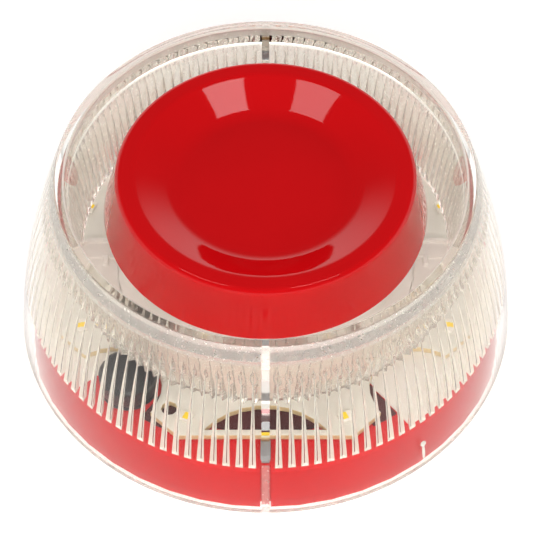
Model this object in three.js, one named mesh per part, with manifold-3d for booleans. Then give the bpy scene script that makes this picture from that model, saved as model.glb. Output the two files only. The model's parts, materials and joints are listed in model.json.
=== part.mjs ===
// Wall sounder beacon: a clear ribbed lens around a ring of light, a red cap over the sound outlet,
// and a twist-off wall base that holds the terminals.
// Millimetres. The origin is on the wall, at the middle. +Z points away from the wall, -Y is the front.
import * as THREE from "three";
import { mergeVertices } from "three/addons/utils/BufferGeometryUtils.js";
import Module from "manifold-3d";

const wasm = await Module();
wasm.setup();

// ---- Driving sizes -------------------------------------------------------------------------------
const FIT = 0.3; // clearance round a piece that seats in another
const SEAT = 0.2; // clearance under a piece that rests on another
const SINK = 0.5; // how far a feature runs into the wall that it grows from
const THROUGH = 1; // how far a cutter runs past the face that it cuts

// Clear lens: an outer flared wall and an inner funnel wall, one moulding
const LENS_FOOT_R = 56;
const LENS_RIM_R = 45.1;
const LENS_HEIGHT = 46.6;
const LENS_BULGE = 1.65; // how far the flared wall stands out of a straight cone at half height
const LENS_WALL = 2;
const LENS_LIFT = 0.6; // foot of the lens above the wall plane
const RIM_WIDTH = 2.1;
const RIM_CHAMFER = 0.4;
const RIM_BAND = 5.3; // solid band under the rim, where the two walls meet
const FUNNEL_WALL = 1.6;
const FUNNEL_GAP = 9; // foot of the funnel above the light board
const FUNNEL_LEAN = 2.6; // how far the funnel leans in over its depth
const WEB_WIDTH = 1.7; // radial web at the front and back seams
const WEB_DEPTH = 1.5; // how far the web stands in from the skirt
const TONGUE_GAP = 0.9; // light guide tongue above the status light
const TONGUE_TOP = 2.4;
const TONGUE_TIP = 1.3;
const PIP_WIDTH = 0.7; // key mark on the skirt
const PIP_HEAD_R = 0.75;
const PIP_PROUD = 0.35;
const PIP_LOW = 3.4;
const PIP_HIGH = 8.6;
const PIP_DEG = -52;
const LENS_STEPS = 4; // straight steps along the curved wall
const LENS_SEGMENTS = 60;
const SEAM_DEGREES = [-90, 90]; // front and back seams

// Red body: side wall in the lens skirt and a deck that carries the boards
const BODY_GAP = 0.4; // air between the body and the lens skirt
const BODY_WALL = 1.8;
const BODY_LIFT = 0.9;
const DECK_TOP = 12.9;
const DECK_THICK = 1.8;
const DECK_LEDGE = 5; // how far the deck runs in under the tower
const SHOULDER_CHAMFER = 0.7;
const BODY_SEGMENTS = 48;

// Light board: octagon with scalloped diagonals and one arched window at the front and back
const BOARD_GAP = 3.66; // corners in from the lens wall
const BOARD_SIDES = 8;
const SCALLOP_COUNT = 4;
const SCALLOP_START_DEG = 45;
const BOARD_THICK = 1.6;
const BOARD_LIFT = 0.5; // board above the deck
const SCALLOP_R = 10.4;
const SCALLOP_OUT = 1.3; // scallop centre beyond the flat side
const ARCH_R = 16.8;
const ARCH_OUT = 9.3; // arch centre beyond the flat side
const BOARD_STRIP = 1.4; // strip left in front of each arch
const LOCATING_HOLE_R = 1.7;
const LOCATING_HOLE_INSET = 1.66; // in from the flat sides
const LOCATING_HOLE_DEG = -118.3;
const BOARD_HOLE_GAP = 0.8; // round the tower

// Light sources
const LED_COUNT = 8;
const LED_START_DEG = 22.5; // at the corners of the octagon
const LED_INSET = 1.1; // inside the circle that touches the flat sides
const LED_LONG = 3;
const LED_SHORT = 2;
const LED_THICK = 0.9;
const LED_WINDOW_RIM = 0.4;
const LED_WINDOW_DEPTH = 0.2;
const STATUS_LONG = 1.6;
const STATUS_SHORT = 0.8;
const STATUS_THICK = 0.7;

// Storage capacitor in the front left scallop
const CAN_R = 6.1;
const CAN_HEIGHT = 6.8;
const CAN_GAP = 2; // in from the lens wall
const CAN_DEG = -132.7;
const CAN_EDGE = 0.7;
const CAN_GROOVE = 0.4;

// White retainers that hold the board down at its left and right sides
const RETAINER_TUCK = 0.6; // runs in under the tower flange before it is trimmed
const RETAINER_INSET = 2.5; // in from the board's flat sides
const RETAINER_FRONT = -9;
const RETAINER_BACK = 6;
const RETAINER_CORNER = 2.6;
const RETAINER_THICK = 1.5;
const RETAINER_LIP = 0.9;
const RETAINER_LIP_HEIGHT = 0.8;
const RETAINER_STEP_Y = 1;
const RETAINER_STEP = 0.5;
const PRONG_INSET = 8.7; // in from the board's flat sides
const PRONG_WIDTH = 1.2;
const PRONG_LENGTH = 2.6;

// Lens catches on the deck, one at each seam
const CATCH_GAP = 0.6; // in front of the board
const CATCH_LENGTH = 4.4;
const CATCH_WIDTH = 2.2;
const CATCH_HEIGHT = 1.5;
const CATCH_NOSE = 0.8;

// Sounder tower, piezo disc and throat
const SOUND_GAP = 4.3; // ring between the tower and the foot of the cap
const TOWER_WALL = 2;
const TOWER_OVERLAP = 0.4; // tower wall up inside the cap
const THROAT_SUNK = 0.8; // throat plate below the top of the tower
const TOWER_FLANGE_WIDTH = 4.2;
const TOWER_FLANGE = 1.3;
const LEDGE_THICK = 1.6;
const SHELF_WIDTH = 1.5;
const PIEZO_GAP = 2.4; // edge of the piezo disc to the cap screw heads
const PIEZO_THICK = 0.4;
const CERAMIC_INSET = 5; // in from the edge of the piezo disc
const CERAMIC_THICK = 0.3;
const SEAL_WIDTH = 2;
const SEAL_THICK = 0.8;
const THROAT_R = 6;
const THROAT_THICK = 2;
const PRESS_RIM = 1.4;
const SPRING_PIN_R = 0.6;
const SPRING_PIN_INSET = 3.4; // pin centres in from the edge of what they touch

// Red cap: a dished top on a flared skirt
const CAP_FOOT_R = 35.3;
const CAP_FLARE = 3; // foot wider than the top
const CAP_PROUD = 0.8; // top of the lip above the lens
const CAP_HEIGHT = 12.4;
const CAP_WALL = 2;
const CAP_LIP_R = 1.6;
const DISH_INSET = 4; // edge of the dish in from the top of the skirt
const DISH_DEPTH = 4.6;
const DISH_SLOPE_DEG = 28;
const DISH_EDGE_ROUND = 3;
const DISH_FLOOR_ROUND = 8;
const DISH_STEPS = 2; // along each rounding
const LIP_STEPS = 3;
const CAP_SEGMENTS = 40;
const POST_R = 2.8;
const POST_INSET = 5; // post centres in from the tower wall
const POST_COUNT = 3;

// Main board, rear cover and what they carry
const COVER_DROP = 3.8; // under the deck
const COVER_THICK = 1.2;
const COVER_INSET = 2.3; // edge of the cover in from the body's side wall
const MAIN_BOARD_INSET = 4.6; // in from the edge of the cover
const MAIN_BOARD_THICK = 1.3;
const MAIN_BOARD_GAP = 0.2; // under the deck
const BOSS_R = 2.8;
const BOSS_CIRCLE_R = 38.5;
const BOSS_COUNT = 2;
const BOSS_START_DEG = 90;
const LINK_SIZE = [8, 2.4];
const LINK_INSET = 6.2; // out from the hole in the light board
const LINK_DEG = 75;
const COIL_R = 6.5;
const COIL_NECK_R = 3.4;
const COIL_HEIGHT = 8;
const COIL_FLANGE = 1.4;
const WINDING_R = 6;
const COIL_DEG = 270;
const COIL_GAP = 0.9; // clear of the spring pins

// Tone switch: four slide levers
const SWITCH_SIZE = [9.6, 5.6];
const SWITCH_R = 35;
const SWITCH_DEG = 180;
const SWITCH_SUNK = 0.15; // switch face in from the rear face of the cover
const LEVER_COUNT = 4;
const LEVER_PITCH = 2.2;
const LEVER_WIDTH = 1;
const LEVER_LONG = 1.3;
const LEVER_TRAVEL = 1.4;
const LEVER_PROUD = 0.6; // levers out of the rear face of the cover
const LEVER_DEEP = 1;

// Volume control: a slotted rotor in a square body
const VOLUME_SIZE = 6.4;
const VOLUME_R = 35;
const VOLUME_DEG = 0;
const ROTOR_R = 2.2;
const ROTOR_PROUD = 0.5;
const ROTOR_SLOT = 0.7;
const ROTOR_SLOT_DEEP = 0.6;

// Wall base, bayonet and terminals
const BASE_FLOOR = 2.2;
const BASE_INSET = 9.5; // rim of the base in from the foot of the lens
const BASE_RIM_WALL = 2;
const RIM_GAP = 0.4; // between the base's rim and the cover
const ENTRY_R = 12;
const SLOT_R = 2.3;
const SLOT_LENGTH = 7;
const SLOT_CIRCLE_R = 35;
const SLOT_COUNT = 4;
const GASKET_INSET = 6.5; // in from the rim of the base
const GASKET_WIDTH = 2.4;
const GASKET_THICK = 1;
const GASKET_PLAY = 0.2;
const BAYONET_COUNT = 3;
const BAYONET_DEG = 22;
const BAYONET_START_DEG = 30;
const BAYONET_REACH = 2.2;
const BAYONET_THICK = 1.8;
const BAYONET_GAP = 0.4;
const HOOK_CLEAR = 0.7;
const STOP_DEG = 3;
const STOP_GAP_DEG = 0.5;
const BASE_SEGMENTS = 40;
const TERMINAL_COUNT = 4;
const TERMINAL_START_DEG = 45;
const TERMINAL_R = 21; // circle of the terminal screws
const BLOCK_IN_WIDTH = 7; // block inside that circle
const BLOCK_OUT_WIDTH = 6; // block outside it
const BLOCK_THICK = 2.2;
const PLATE_INSET = 2; // plates in from both edges of the block
const PLATE_THICK = 0.6;
const PLATE_DEG = 58;
const TERMINAL_SCREW_DEG = 20; // screw, from the middle of its plate
const CONTACT_DEG = -18; // head contact, from the middle of its plate
const CONTACT_WIDTH = 3;
const CONTACT_THICK = 0.5;
const CONTACT_FOOT = 2.2;
const CONTACT_INSET = 1; // in from the circle of the terminal screws

// Screws
const TERMINAL_SCREW = { head: 2.6, headHeight: 1.2, shank: 1.4, length: 2 };
const COVER_SCREW = { head: 2.1, headHeight: 0.9, shank: 1, length: 3.4 };
const TOWER_SCREW = { head: 2.1, headHeight: 1, shank: 1, length: 5.4 };
const CAP_SCREW = { head: 2.1, headHeight: 1, shank: 1, length: 6 };
const TOWER_SCREW_INSET = 0.6; // screw centres in from the tower wall
const TOWER_SCREW_START_DEG = 30;
const DRIVE_SLOT = 0.6;
const SCREW_SEGMENTS = 10;
const ROUND_SEGMENTS = 30; // plain rings and discs inside
const SMALL_SEGMENTS = 24; // capacitor, coil and rotor
const BALL_STEPS = [12, 8];
const CORNER_STEPS = 6; // along one rounded corner
const ARC_STEPS = 8; // along one sector

// ---- Levels worked out from the sizes ------------------------------------------------------------
const LENS_TOP = LENS_LIFT + LENS_HEIGHT;
const CAP_TOP = LENS_TOP + CAP_PROUD;
const CAP_TOP_R = CAP_FOOT_R - CAP_FLARE;
const DISH_R = CAP_TOP_R - DISH_INSET;
const TOWER_R = CAP_FOOT_R - CAP_WALL - SOUND_GAP;
const TOWER_FLANGE_R = TOWER_R + TOWER_FLANGE_WIDTH;
const TOWER_INNER_R = TOWER_R - TOWER_WALL;
const TOWER_SCREW_CIRCLE_R = TOWER_INNER_R - TOWER_SCREW_INSET;
const POST_CIRCLE_R = TOWER_INNER_R - POST_INSET;
const DECK_HOLE_R = TOWER_R - DECK_LEDGE;
const BOARD_HOLE_R = TOWER_R + BOARD_HOLE_GAP;
const LINK_R = BOARD_HOLE_R + LINK_INSET;
const PIEZO_R = POST_CIRCLE_R - CAP_SCREW.head - PIEZO_GAP;
const CERAMIC_R = PIEZO_R - CERAMIC_INSET;
const LEDGE_R = PIEZO_R - SEAL_WIDTH - FIT;
const SPRING_PIN_AT = [CERAMIC_R - SPRING_PIN_INSET, PIEZO_R - SPRING_PIN_INSET];
const BLOCK_IN_R = TERMINAL_R - BLOCK_IN_WIDTH;
const BLOCK_OUT_R = TERMINAL_R + BLOCK_OUT_WIDTH;
const PLATE_IN_R = BLOCK_IN_R + PLATE_INSET;
const PLATE_OUT_R = BLOCK_OUT_R - PLATE_INSET;
const CONTACT_R = TERMINAL_R - CONTACT_INSET;
const BASE_RIM_R = LENS_FOOT_R - BASE_INSET;
const GASKET_R = BASE_RIM_R - GASKET_INSET;
const COIL_CENTRE_R = COIL_R + SPRING_PIN_R + COIL_GAP;
const RETAINER_IN = TOWER_FLANGE_R - RETAINER_TUCK;
const CAVITY_TOP = LENS_TOP - RIM_BAND;
const DECK_LOW = DECK_TOP - DECK_THICK;
const BOARD_LOW = DECK_TOP + BOARD_LIFT;
const BOARD_TOP = BOARD_LOW + BOARD_THICK;
const FUNNEL_LOW = BOARD_TOP + FUNNEL_GAP;
const STATUS_TOP = BOARD_TOP + SEAT + STATUS_THICK;
const MAIN_BOARD_TOP = DECK_LOW - MAIN_BOARD_GAP;
const MAIN_BOARD_LOW = MAIN_BOARD_TOP - MAIN_BOARD_THICK;
const COVER_LOW = DECK_LOW - COVER_DROP;
const COVER_TOP = COVER_LOW + COVER_THICK;
const SWITCH_LOW = COVER_LOW + SWITCH_SUNK;
const LEVER_LOW = COVER_LOW - LEVER_PROUD;
const ROTOR_LOW = COVER_LOW - ROTOR_PROUD;
const BASE_RIM_TOP = COVER_LOW - RIM_GAP;
const COVER_SINK = COVER_THICK / 2;
const BLOCK_LOW = BASE_FLOOR + SEAT;
const BLOCK_TOP = BLOCK_LOW + BLOCK_THICK;
const PLATE_LOW = BLOCK_TOP + SEAT;
const PLATE_TOP = PLATE_LOW + PLATE_THICK;
const TERMINAL_HEAD_LOW = PLATE_TOP + SEAT;
const CAP_LOW = CAP_TOP - CAP_HEIGHT;
const TOWER_TOP = CAP_LOW + TOWER_OVERLAP;
const THROAT_TOP = TOWER_TOP - THROAT_SUNK;
const THROAT_LOW = THROAT_TOP - THROAT_THICK;
const PIEZO_TOP = THROAT_LOW - PRESS_RIM - SEAT;
const PIEZO_LOW = PIEZO_TOP - PIEZO_THICK;
const CERAMIC_LOW = PIEZO_LOW - SEAT - CERAMIC_THICK;
const SEAL_LOW = PIEZO_LOW - SEAT - SEAL_THICK;
const LEDGE_TOP = SEAL_LOW - SEAT;
const LUG_TOP = BASE_RIM_TOP - FIT;
const LUG_LOW = LUG_TOP - BAYONET_THICK;
const HOOK_TOP = LUG_LOW - BAYONET_GAP;
const HOOK_LOW = HOOK_TOP - BAYONET_THICK;
const CAN_TOP = DECK_TOP + SEAT + CAN_HEIGHT;
const CAN_CENTRE_R = lensInnerR(CAN_TOP) - CAN_GAP - CAN_R;
const BOARD_REACH = (lensInnerR(BOARD_TOP) - BOARD_GAP) * Math.cos(Math.PI / BOARD_SIDES);
const RETAINER_OUT = BOARD_REACH - RETAINER_INSET;
const PRONG_R = BOARD_REACH - PRONG_INSET;
const CATCH_IN = BOARD_REACH + CATCH_GAP;
const CATCH_OUT = CATCH_IN + CATCH_LENGTH;
const ARCH_CENTRE = BOARD_REACH + ARCH_OUT;
const SCALLOP_CENTRE = BOARD_REACH + SCALLOP_OUT;
const LOCATING_HOLE_CENTRE_R = BOARD_REACH - LOCATING_HOLE_INSET;
const LED_CIRCLE_R = BOARD_REACH - LED_INSET;
const STATUS_R = BOARD_REACH - BOARD_STRIP / 2;

// ---- Helpers -------------------------------------------------------------------------------------
const radians = THREE.MathUtils.degToRad;
const group = new THREE.Group();

function solid(geometry) {
  const bare = geometry.clone();
  bare.deleteAttribute("normal");
  bare.deleteAttribute("uv");
  const merged = mergeVertices(bare, 1e-4);
  const mesh = new wasm.Mesh({
    numProp: 3,
    vertProperties: merged.attributes.position.array,
    triVerts: new Uint32Array(merged.index.array),
  });
  return new wasm.Manifold(mesh);
}

function geometryOf(body) {
  const mesh = body.getMesh();
  const geometry = new THREE.BufferGeometry();
  const places = new Float32Array(mesh.vertProperties);
  geometry.setAttribute("position", new THREE.BufferAttribute(places, 3));
  geometry.setIndex(new THREE.BufferAttribute(new Uint32Array(mesh.triVerts), 1));
  return geometry;
}

function join(first, ...rest) {
  return rest.reduce((whole, piece) => whole.add(solid(piece)), first);
}

function cut(first, ...rest) {
  return rest.reduce((whole, piece) => whole.subtract(solid(piece)), first);
}

function add(name, shape, material) {
  const geometry = shape.isBufferGeometry ? shape : geometryOf(shape);
  geometry.computeVertexNormals();
  const mesh = new THREE.Mesh(geometry, material);
  mesh.name = name;
  group.add(mesh);
}

// A body of revolution about Z from a closed outline of [radius, height] points.
function turned(outline, segments) {
  const points = outline.map(([r, z]) => new THREE.Vector2(r, z));
  if (THREE.ShapeUtils.area(points) < 0) points.reverse();
  const onAxis = points.filter((point) => point.x === 0).length;
  if (onAxis > 0) {
    while (points[0].x !== 0 || points[points.length - 1].x !== 0) points.push(points.shift());
  } else {
    points.push(points[0].clone());
  }
  return new THREE.LatheGeometry(points, segments).rotateX(Math.PI / 2);
}

function tube(outer, inner, low, high, segments) {
  return turned([[inner, low], [outer, low], [outer, high], [inner, high]], segments);
}

function rod(radius, low, high, segments = SCREW_SEGMENTS) {
  return new THREE.CylinderGeometry(radius, radius, high - low, segments)
    .rotateX(Math.PI / 2)
    .translate(0, 0, (low + high) / 2);
}

function block(width, depth, low, high) {
  return new THREE.BoxGeometry(width, depth, high - low).translate(0, 0, (low + high) / 2);
}

// A flat plate of a shape in X and Y, from one height to another.
function plate(shape, low, high, curveSegments = CORNER_STEPS) {
  const options = { depth: high - low, bevelEnabled: false, curveSegments };
  return new THREE.ExtrudeGeometry(shape, options).translate(0, 0, low);
}

// A plate that stands on a radius: its outline is given in [radius, height].
function radialPlate(outline, width, degrees) {
  const shape = new THREE.Shape(outline.map(([r, z]) => new THREE.Vector2(r, z)));
  return new THREE.ExtrudeGeometry(shape, { depth: width, bevelEnabled: false })
    .translate(0, 0, -width / 2)
    .rotateX(Math.PI / 2)
    .rotateZ(radians(degrees));
}

// A sector of a ring, centred on an angle.
function sector(inner, outer, low, high, middleDeg, spanDeg) {
  const from = radians(middleDeg - spanDeg / 2);
  const to = radians(middleDeg + spanDeg / 2);
  const shape = new THREE.Shape();
  shape.absarc(0, 0, outer, from, to, false);
  shape.absarc(0, 0, inner, to, from, true);
  return plate(shape, low, high, ARC_STEPS);
}

function atAngle(geometry, radius, degrees) {
  return geometry.translate(radius, 0, 0).rotateZ(radians(degrees));
}

function spread(count, startDeg = 0) {
  return Array.from({ length: count }, (_, index) => startDeg + (index * 360) / count);
}

// The same shape on the other side of the plane x = 0, with its faces turned to point outward again.
function mirrored(geometry) {
  const other = geometry.clone().scale(-1, 1, 1);
  const corners = other.index.array;
  for (let at = 0; at < corners.length; at += 3) {
    [corners[at], corners[at + 1]] = [corners[at + 1], corners[at]];
  }
  return other;
}

// A slotted pan head screw. Its head rests on z = 0 and points up; the shank points down.
function screw({ head, headHeight, shank, length }) {
  const edge = headHeight / 3;
  const outline = [
    [0, -length],
    [shank, -length],
    [shank, 0],
    [head, 0],
    [head, headHeight - edge],
    [head - edge, headHeight],
    [0, headHeight],
  ];
  const slot = block(2 * head + THROUGH, DRIVE_SLOT, headHeight / 2, headHeight + THROUGH);
  return geometryOf(cut(solid(turned(outline, SCREW_SEGMENTS)), slot));
}

// ---- Materials -----------------------------------------------------------------------------------
function finish(color, roughness, metalness = 0, extra = {}) {
  return new THREE.MeshStandardMaterial({ color, roughness, metalness, ...extra });
}

const clearPlastic = finish(0xf2ece8, 0.08, 0, { transparent: true, opacity: 0.35 });
const redGloss = finish(0xd2141c, 0.15);
const redSatin = finish(0xc81a22, 0.35);
const whitePlastic = finish(0xe9e7e1, 0.4);
const boardWhite = finish(0xd0d0c8, 0.45);
const boardGreen = finish(0x2c6b45, 0.4);
const blackPlastic = finish(0x232326, 0.45);
const greyPlastic = finish(0x8f9296, 0.4);
const ledPackage = finish(0xe8d678, 0.4);
const steel = finish(0xb9bcc0, 0.3, 1);
const brass = finish(0xc9a350, 0.3, 1);
const ceramic = finish(0xdedad0, 0.5);
const rubber = finish(0x2b2b2d, 0.8);
const copper = finish(0xb4632f, 0.35, 1);
const ferrite = finish(0x3c3b3d, 0.6);

// ---- Clear lens ----------------------------------------------------------------------------------
function lensOuterR(z) {
  const t = (z - LENS_LIFT) / LENS_HEIGHT;
  return LENS_FOOT_R + (LENS_RIM_R - LENS_FOOT_R) * t + 4 * LENS_BULGE * t * (1 - t);
}

function lensInnerR(z) {
  return lensOuterR(z) - LENS_WALL;
}

function funnelInnerR(z) {
  return LENS_RIM_R - RIM_WIDTH - (FUNNEL_LEAN * (LENS_TOP - z)) / (LENS_TOP - FUNNEL_LOW);
}

function funnelOuterR(z) {
  return funnelInnerR(z) + FUNNEL_WALL;
}

function wallPoints(radiusAt, from, to) {
  return Array.from({ length: LENS_STEPS + 1 }, (_, index) => {
    const z = from + ((to - from) * index) / LENS_STEPS;
    return [radiusAt(z), z];
  });
}

function lensShell() {
  const rimLow = LENS_TOP - RIM_CHAMFER;
  const outline = [
    ...wallPoints(lensOuterR, LENS_LIFT, rimLow),
    [LENS_RIM_R - RIM_CHAMFER, LENS_TOP],
    [funnelInnerR(LENS_TOP) + RIM_CHAMFER, LENS_TOP],
    [funnelInnerR(rimLow), rimLow],
    [funnelInnerR(FUNNEL_LOW), FUNNEL_LOW],
    [funnelOuterR(FUNNEL_LOW), FUNNEL_LOW],
    [funnelOuterR(CAVITY_TOP), CAVITY_TOP],
    ...wallPoints(lensInnerR, CAVITY_TOP, LENS_LIFT),
  ];
  return turned(outline, LENS_SEGMENTS);
}

// The web joins the two walls, ends in a light guide tongue, and runs down the skirt as a key.
function seamWeb(degrees) {
  const top = CAVITY_TOP + SINK;
  const tongueOut = STATUS_R + TONGUE_TOP / 2;
  const tongueIn = STATUS_R - TONGUE_TOP / 2;
  const tongueLow = STATUS_TOP + TONGUE_GAP;
  const outline = [
    ...wallPoints((z) => lensInnerR(z) + SINK, top, LENS_LIFT),
    ...wallPoints((z) => lensInnerR(z) - WEB_DEPTH, LENS_LIFT, FUNNEL_LOW),
    [tongueOut, FUNNEL_LOW],
    [STATUS_R + TONGUE_TIP / 2, tongueLow],
    [STATUS_R - TONGUE_TIP / 2, tongueLow],
    [tongueIn, FUNNEL_LOW - SINK],
    [funnelOuterR(FUNNEL_LOW) - SINK, FUNNEL_LOW],
    [funnelOuterR(top) - SINK, top],
  ];
  return radialPlate(outline, WEB_WIDTH, degrees);
}

// Raised key mark on the outside of the skirt: a thin stem under a round head.
function keyMark() {
  const stem = [
    [lensOuterR(PIP_LOW) - SINK, PIP_LOW],
    [lensOuterR(PIP_LOW) + PIP_PROUD, PIP_LOW],
    [lensOuterR(PIP_HIGH) + PIP_PROUD, PIP_HIGH],
    [lensOuterR(PIP_HIGH) - SINK, PIP_HIGH],
  ];
  const head = new THREE.SphereGeometry(PIP_HEAD_R, ...BALL_STEPS).translate(0, 0, PIP_HIGH);
  return [radialPlate(stem, PIP_WIDTH, PIP_DEG), atAngle(head, lensOuterR(PIP_HIGH), PIP_DEG)];
}

function clearLens() {
  const seams = SEAM_DEGREES.map(seamWeb);
  return join(solid(lensShell()), ...seams, ...keyMark());
}

// ---- Red body ------------------------------------------------------------------------------------
function bodyOuterR(z) {
  return lensInnerR(z) - BODY_GAP;
}

function bodyShell() {
  const edge = DECK_TOP - SHOULDER_CHAMFER;
  const outline = [
    ...wallPoints(bodyOuterR, BODY_LIFT, edge),
    [bodyOuterR(DECK_TOP) - SHOULDER_CHAMFER, DECK_TOP],
    [DECK_HOLE_R, DECK_TOP],
    [DECK_HOLE_R, DECK_LOW],
    ...wallPoints((z) => bodyOuterR(z) - BODY_WALL, DECK_LOW, BODY_LIFT),
  ];
  return turned(outline, BODY_SEGMENTS);
}

// Groove in the side wall for the web of the lens.
function keyway(degrees) {
  const deep = WEB_DEPTH + FIT;
  const low = BODY_LIFT - THROUGH;
  const high = DECK_TOP + THROUGH;
  const outline = [
    ...wallPoints((z) => lensInnerR(z) + THROUGH, low, high),
    ...wallPoints((z) => lensInnerR(z) - deep, high, low),
  ];
  return radialPlate(outline, WEB_WIDTH + 2 * FIT, degrees);
}

function bayonetHook(degrees) {
  const inner = BASE_RIM_R + HOOK_CLEAR;
  const outer = bodyOuterR(HOOK_TOP) - BODY_WALL + SINK;
  return sector(inner, outer, HOOK_LOW, HOOK_TOP, degrees, BAYONET_DEG);
}

function coverBoss(degrees) {
  return atAngle(rod(BOSS_R, COVER_TOP + SEAT, DECK_LOW + SINK), BOSS_CIRCLE_R, degrees);
}

function coverScrewBore(degrees) {
  const bore = rod(COVER_SCREW.shank + FIT, COVER_TOP - THROUGH, COVER_TOP + COVER_SCREW.length);
  return atAngle(bore, BOSS_CIRCLE_R, degrees);
}

function towerScrewBore(degrees, low, high, radius) {
  return atAngle(rod(radius, low, high), TOWER_SCREW_CIRCLE_R, degrees);
}

function linkWindow() {
  const [long, wide] = LINK_SIZE;
  const hole = block(wide + 2 * FIT, long + 2 * FIT, DECK_LOW - THROUGH, DECK_TOP + THROUGH);
  return atAngle(hole, LINK_R, LINK_DEG);
}

function redBody() {
  const hooks = spread(BAYONET_COUNT, BAYONET_START_DEG).map(bayonetHook);
  const bosses = spread(BOSS_COUNT, BOSS_START_DEG).map(coverBoss);
  const bores = spread(BOSS_COUNT, BOSS_START_DEG).map(coverScrewBore);
  const holeR = TOWER_SCREW.shank + FIT;
  const towerHoles = spread(POST_COUNT, TOWER_SCREW_START_DEG).map((degrees) =>
    towerScrewBore(degrees, DECK_LOW - THROUGH, DECK_TOP + THROUGH, holeR),
  );
  const whole = join(solid(bodyShell()), ...hooks, ...bosses);
  return cut(whole, ...SEAM_DEGREES.map(keyway), ...bores, ...towerHoles, linkWindow());
}

// ---- Light board ---------------------------------------------------------------------------------
function boardOutline() {
  const halfSideDeg = 180 / BOARD_SIDES;
  const cornerR = BOARD_REACH / Math.cos(radians(halfSideDeg));
  const corners = spread(BOARD_SIDES, halfSideDeg).map((degrees) => {
    const angle = radians(degrees);
    return new THREE.Vector2(cornerR * Math.cos(angle), cornerR * Math.sin(angle));
  });
  return new THREE.Shape(corners);
}

function roundCutter(radius, centre, degrees, low, high) {
  return atAngle(rod(radius, low, high, ROUND_SEGMENTS), centre, degrees);
}

// Arched window: the round cutter, less the strip that is left along the board's edge.
function archCutter(degrees, low, high) {
  const round = solid(roundCutter(ARCH_R, ARCH_CENTRE, degrees, low, high));
  const outside = block(2 * ARCH_R, 4 * ARCH_R, low - THROUGH, high + THROUGH);
  const edge = BOARD_REACH - BOARD_STRIP;
  return round.subtract(solid(atAngle(outside, edge + ARCH_R, degrees)));
}

function lightBoard() {
  const low = BOARD_LOW - THROUGH;
  const high = BOARD_TOP + THROUGH;
  const diagonals = spread(SCALLOP_COUNT, SCALLOP_START_DEG).map((degrees) =>
    roundCutter(SCALLOP_R, SCALLOP_CENTRE, degrees, low, high),
  );
  const middle = rod(BOARD_HOLE_R, low, high, BODY_SEGMENTS);
  const locating = atAngle(rod(LOCATING_HOLE_R, low, high), LOCATING_HOLE_CENTRE_R, LOCATING_HOLE_DEG);
  const octagon = solid(plate(boardOutline(), BOARD_LOW, BOARD_TOP));
  const whole = cut(octagon, middle, locating, ...diagonals);
  return SEAM_DEGREES.reduce((rest, deg) => rest.subtract(archCutter(deg, low, high)), whole);
}

function led() {
  const low = BOARD_TOP + SEAT;
  const high = low + LED_THICK;
  const long = LED_LONG - 2 * LED_WINDOW_RIM;
  const short = LED_SHORT - 2 * LED_WINDOW_RIM;
  const window = block(short, long, high - LED_WINDOW_DEPTH, high + THROUGH);
  return geometryOf(cut(solid(block(LED_SHORT, LED_LONG, low, high)), window));
}

function statusLed() {
  const light = block(STATUS_SHORT, STATUS_LONG, BOARD_TOP + SEAT, STATUS_TOP);
  return atAngle(light, STATUS_R, SEAM_DEGREES[0]);
}

function storageCapacitor() {
  const low = DECK_TOP + SEAT;
  const groove = low + 2 * CAN_EDGE;
  const outline = [
    [0, low],
    [CAN_R - CAN_GROOVE, low],
    [CAN_R, low + CAN_EDGE],
    [CAN_R - CAN_GROOVE, groove],
    [CAN_R, groove + CAN_EDGE],
    [CAN_R, CAN_TOP - CAN_EDGE],
    [CAN_R - CAN_EDGE, CAN_TOP],
    [0, CAN_TOP],
  ];
  return atAngle(turned(outline, SMALL_SEGMENTS), CAN_CENTRE_R, CAN_DEG);
}

// A white clip across the board's side: a plate with a raised lip round its back corner and a latch prong.
function retainerOutline(inset) {
  const r = RETAINER_CORNER - inset;
  const inner = RETAINER_IN;
  const outer = RETAINER_OUT - inset;
  const back = RETAINER_BACK - inset;
  const shape = new THREE.Shape();
  shape.moveTo(inner, RETAINER_FRONT);
  shape.lineTo(outer - r, RETAINER_FRONT);
  shape.absarc(outer - r, RETAINER_FRONT + r, r, -Math.PI / 2, 0, false);
  shape.lineTo(outer, back - r);
  shape.absarc(outer - r, back - r, r, 0, Math.PI / 2, false);
  shape.lineTo(inner, back);
  return shape;
}

function retainer(side) {
  const low = BOARD_TOP + SEAT;
  const top = low + RETAINER_THICK;
  const lipTop = top + RETAINER_LIP_HEIGHT;
  const whole = solid(plate(retainerOutline(0), low, lipTop));
  const well = plate(retainerOutline(RETAINER_LIP), top, lipTop + THROUGH);
  const wide = RETAINER_OUT - RETAINER_IN + 2 * THROUGH;
  const middle = (RETAINER_OUT + RETAINER_IN) / 2;
  const frontLong = RETAINER_STEP_Y - RETAINER_FRONT + THROUGH;
  const stepCentre = RETAINER_STEP_Y - frontLong / 2;
  const step = block(wide, frontLong, top - RETAINER_STEP, lipTop + THROUGH);
  const ring = rod(TOWER_FLANGE_R + FIT, low - THROUGH, lipTop + THROUGH, BODY_SEGMENTS);
  const prongTop = top + RETAINER_STEP;
  const prong = block(PRONG_WIDTH, PRONG_LENGTH, top - RETAINER_STEP - SINK, prongTop);
  const prongY = RETAINER_STEP_Y - PRONG_LENGTH / 2 + SINK;
  const shaped = cut(whole, well, step.translate(middle, stepCentre, 0), ring);
  const made = geometryOf(join(shaped, prong.translate(PRONG_R, prongY, 0)));
  return side > 0 ? made : mirrored(made);
}

function lensCatch(degrees) {
  const low = DECK_TOP + SEAT;
  const outline = [
    [CATCH_IN, low],
    [CATCH_OUT, low],
    [CATCH_OUT, low + CATCH_HEIGHT - CATCH_NOSE],
    [CATCH_OUT - CATCH_NOSE, low + CATCH_HEIGHT],
    [CATCH_IN, low + CATCH_HEIGHT],
  ];
  return radialPlate(outline, CATCH_WIDTH, degrees);
}

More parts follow.
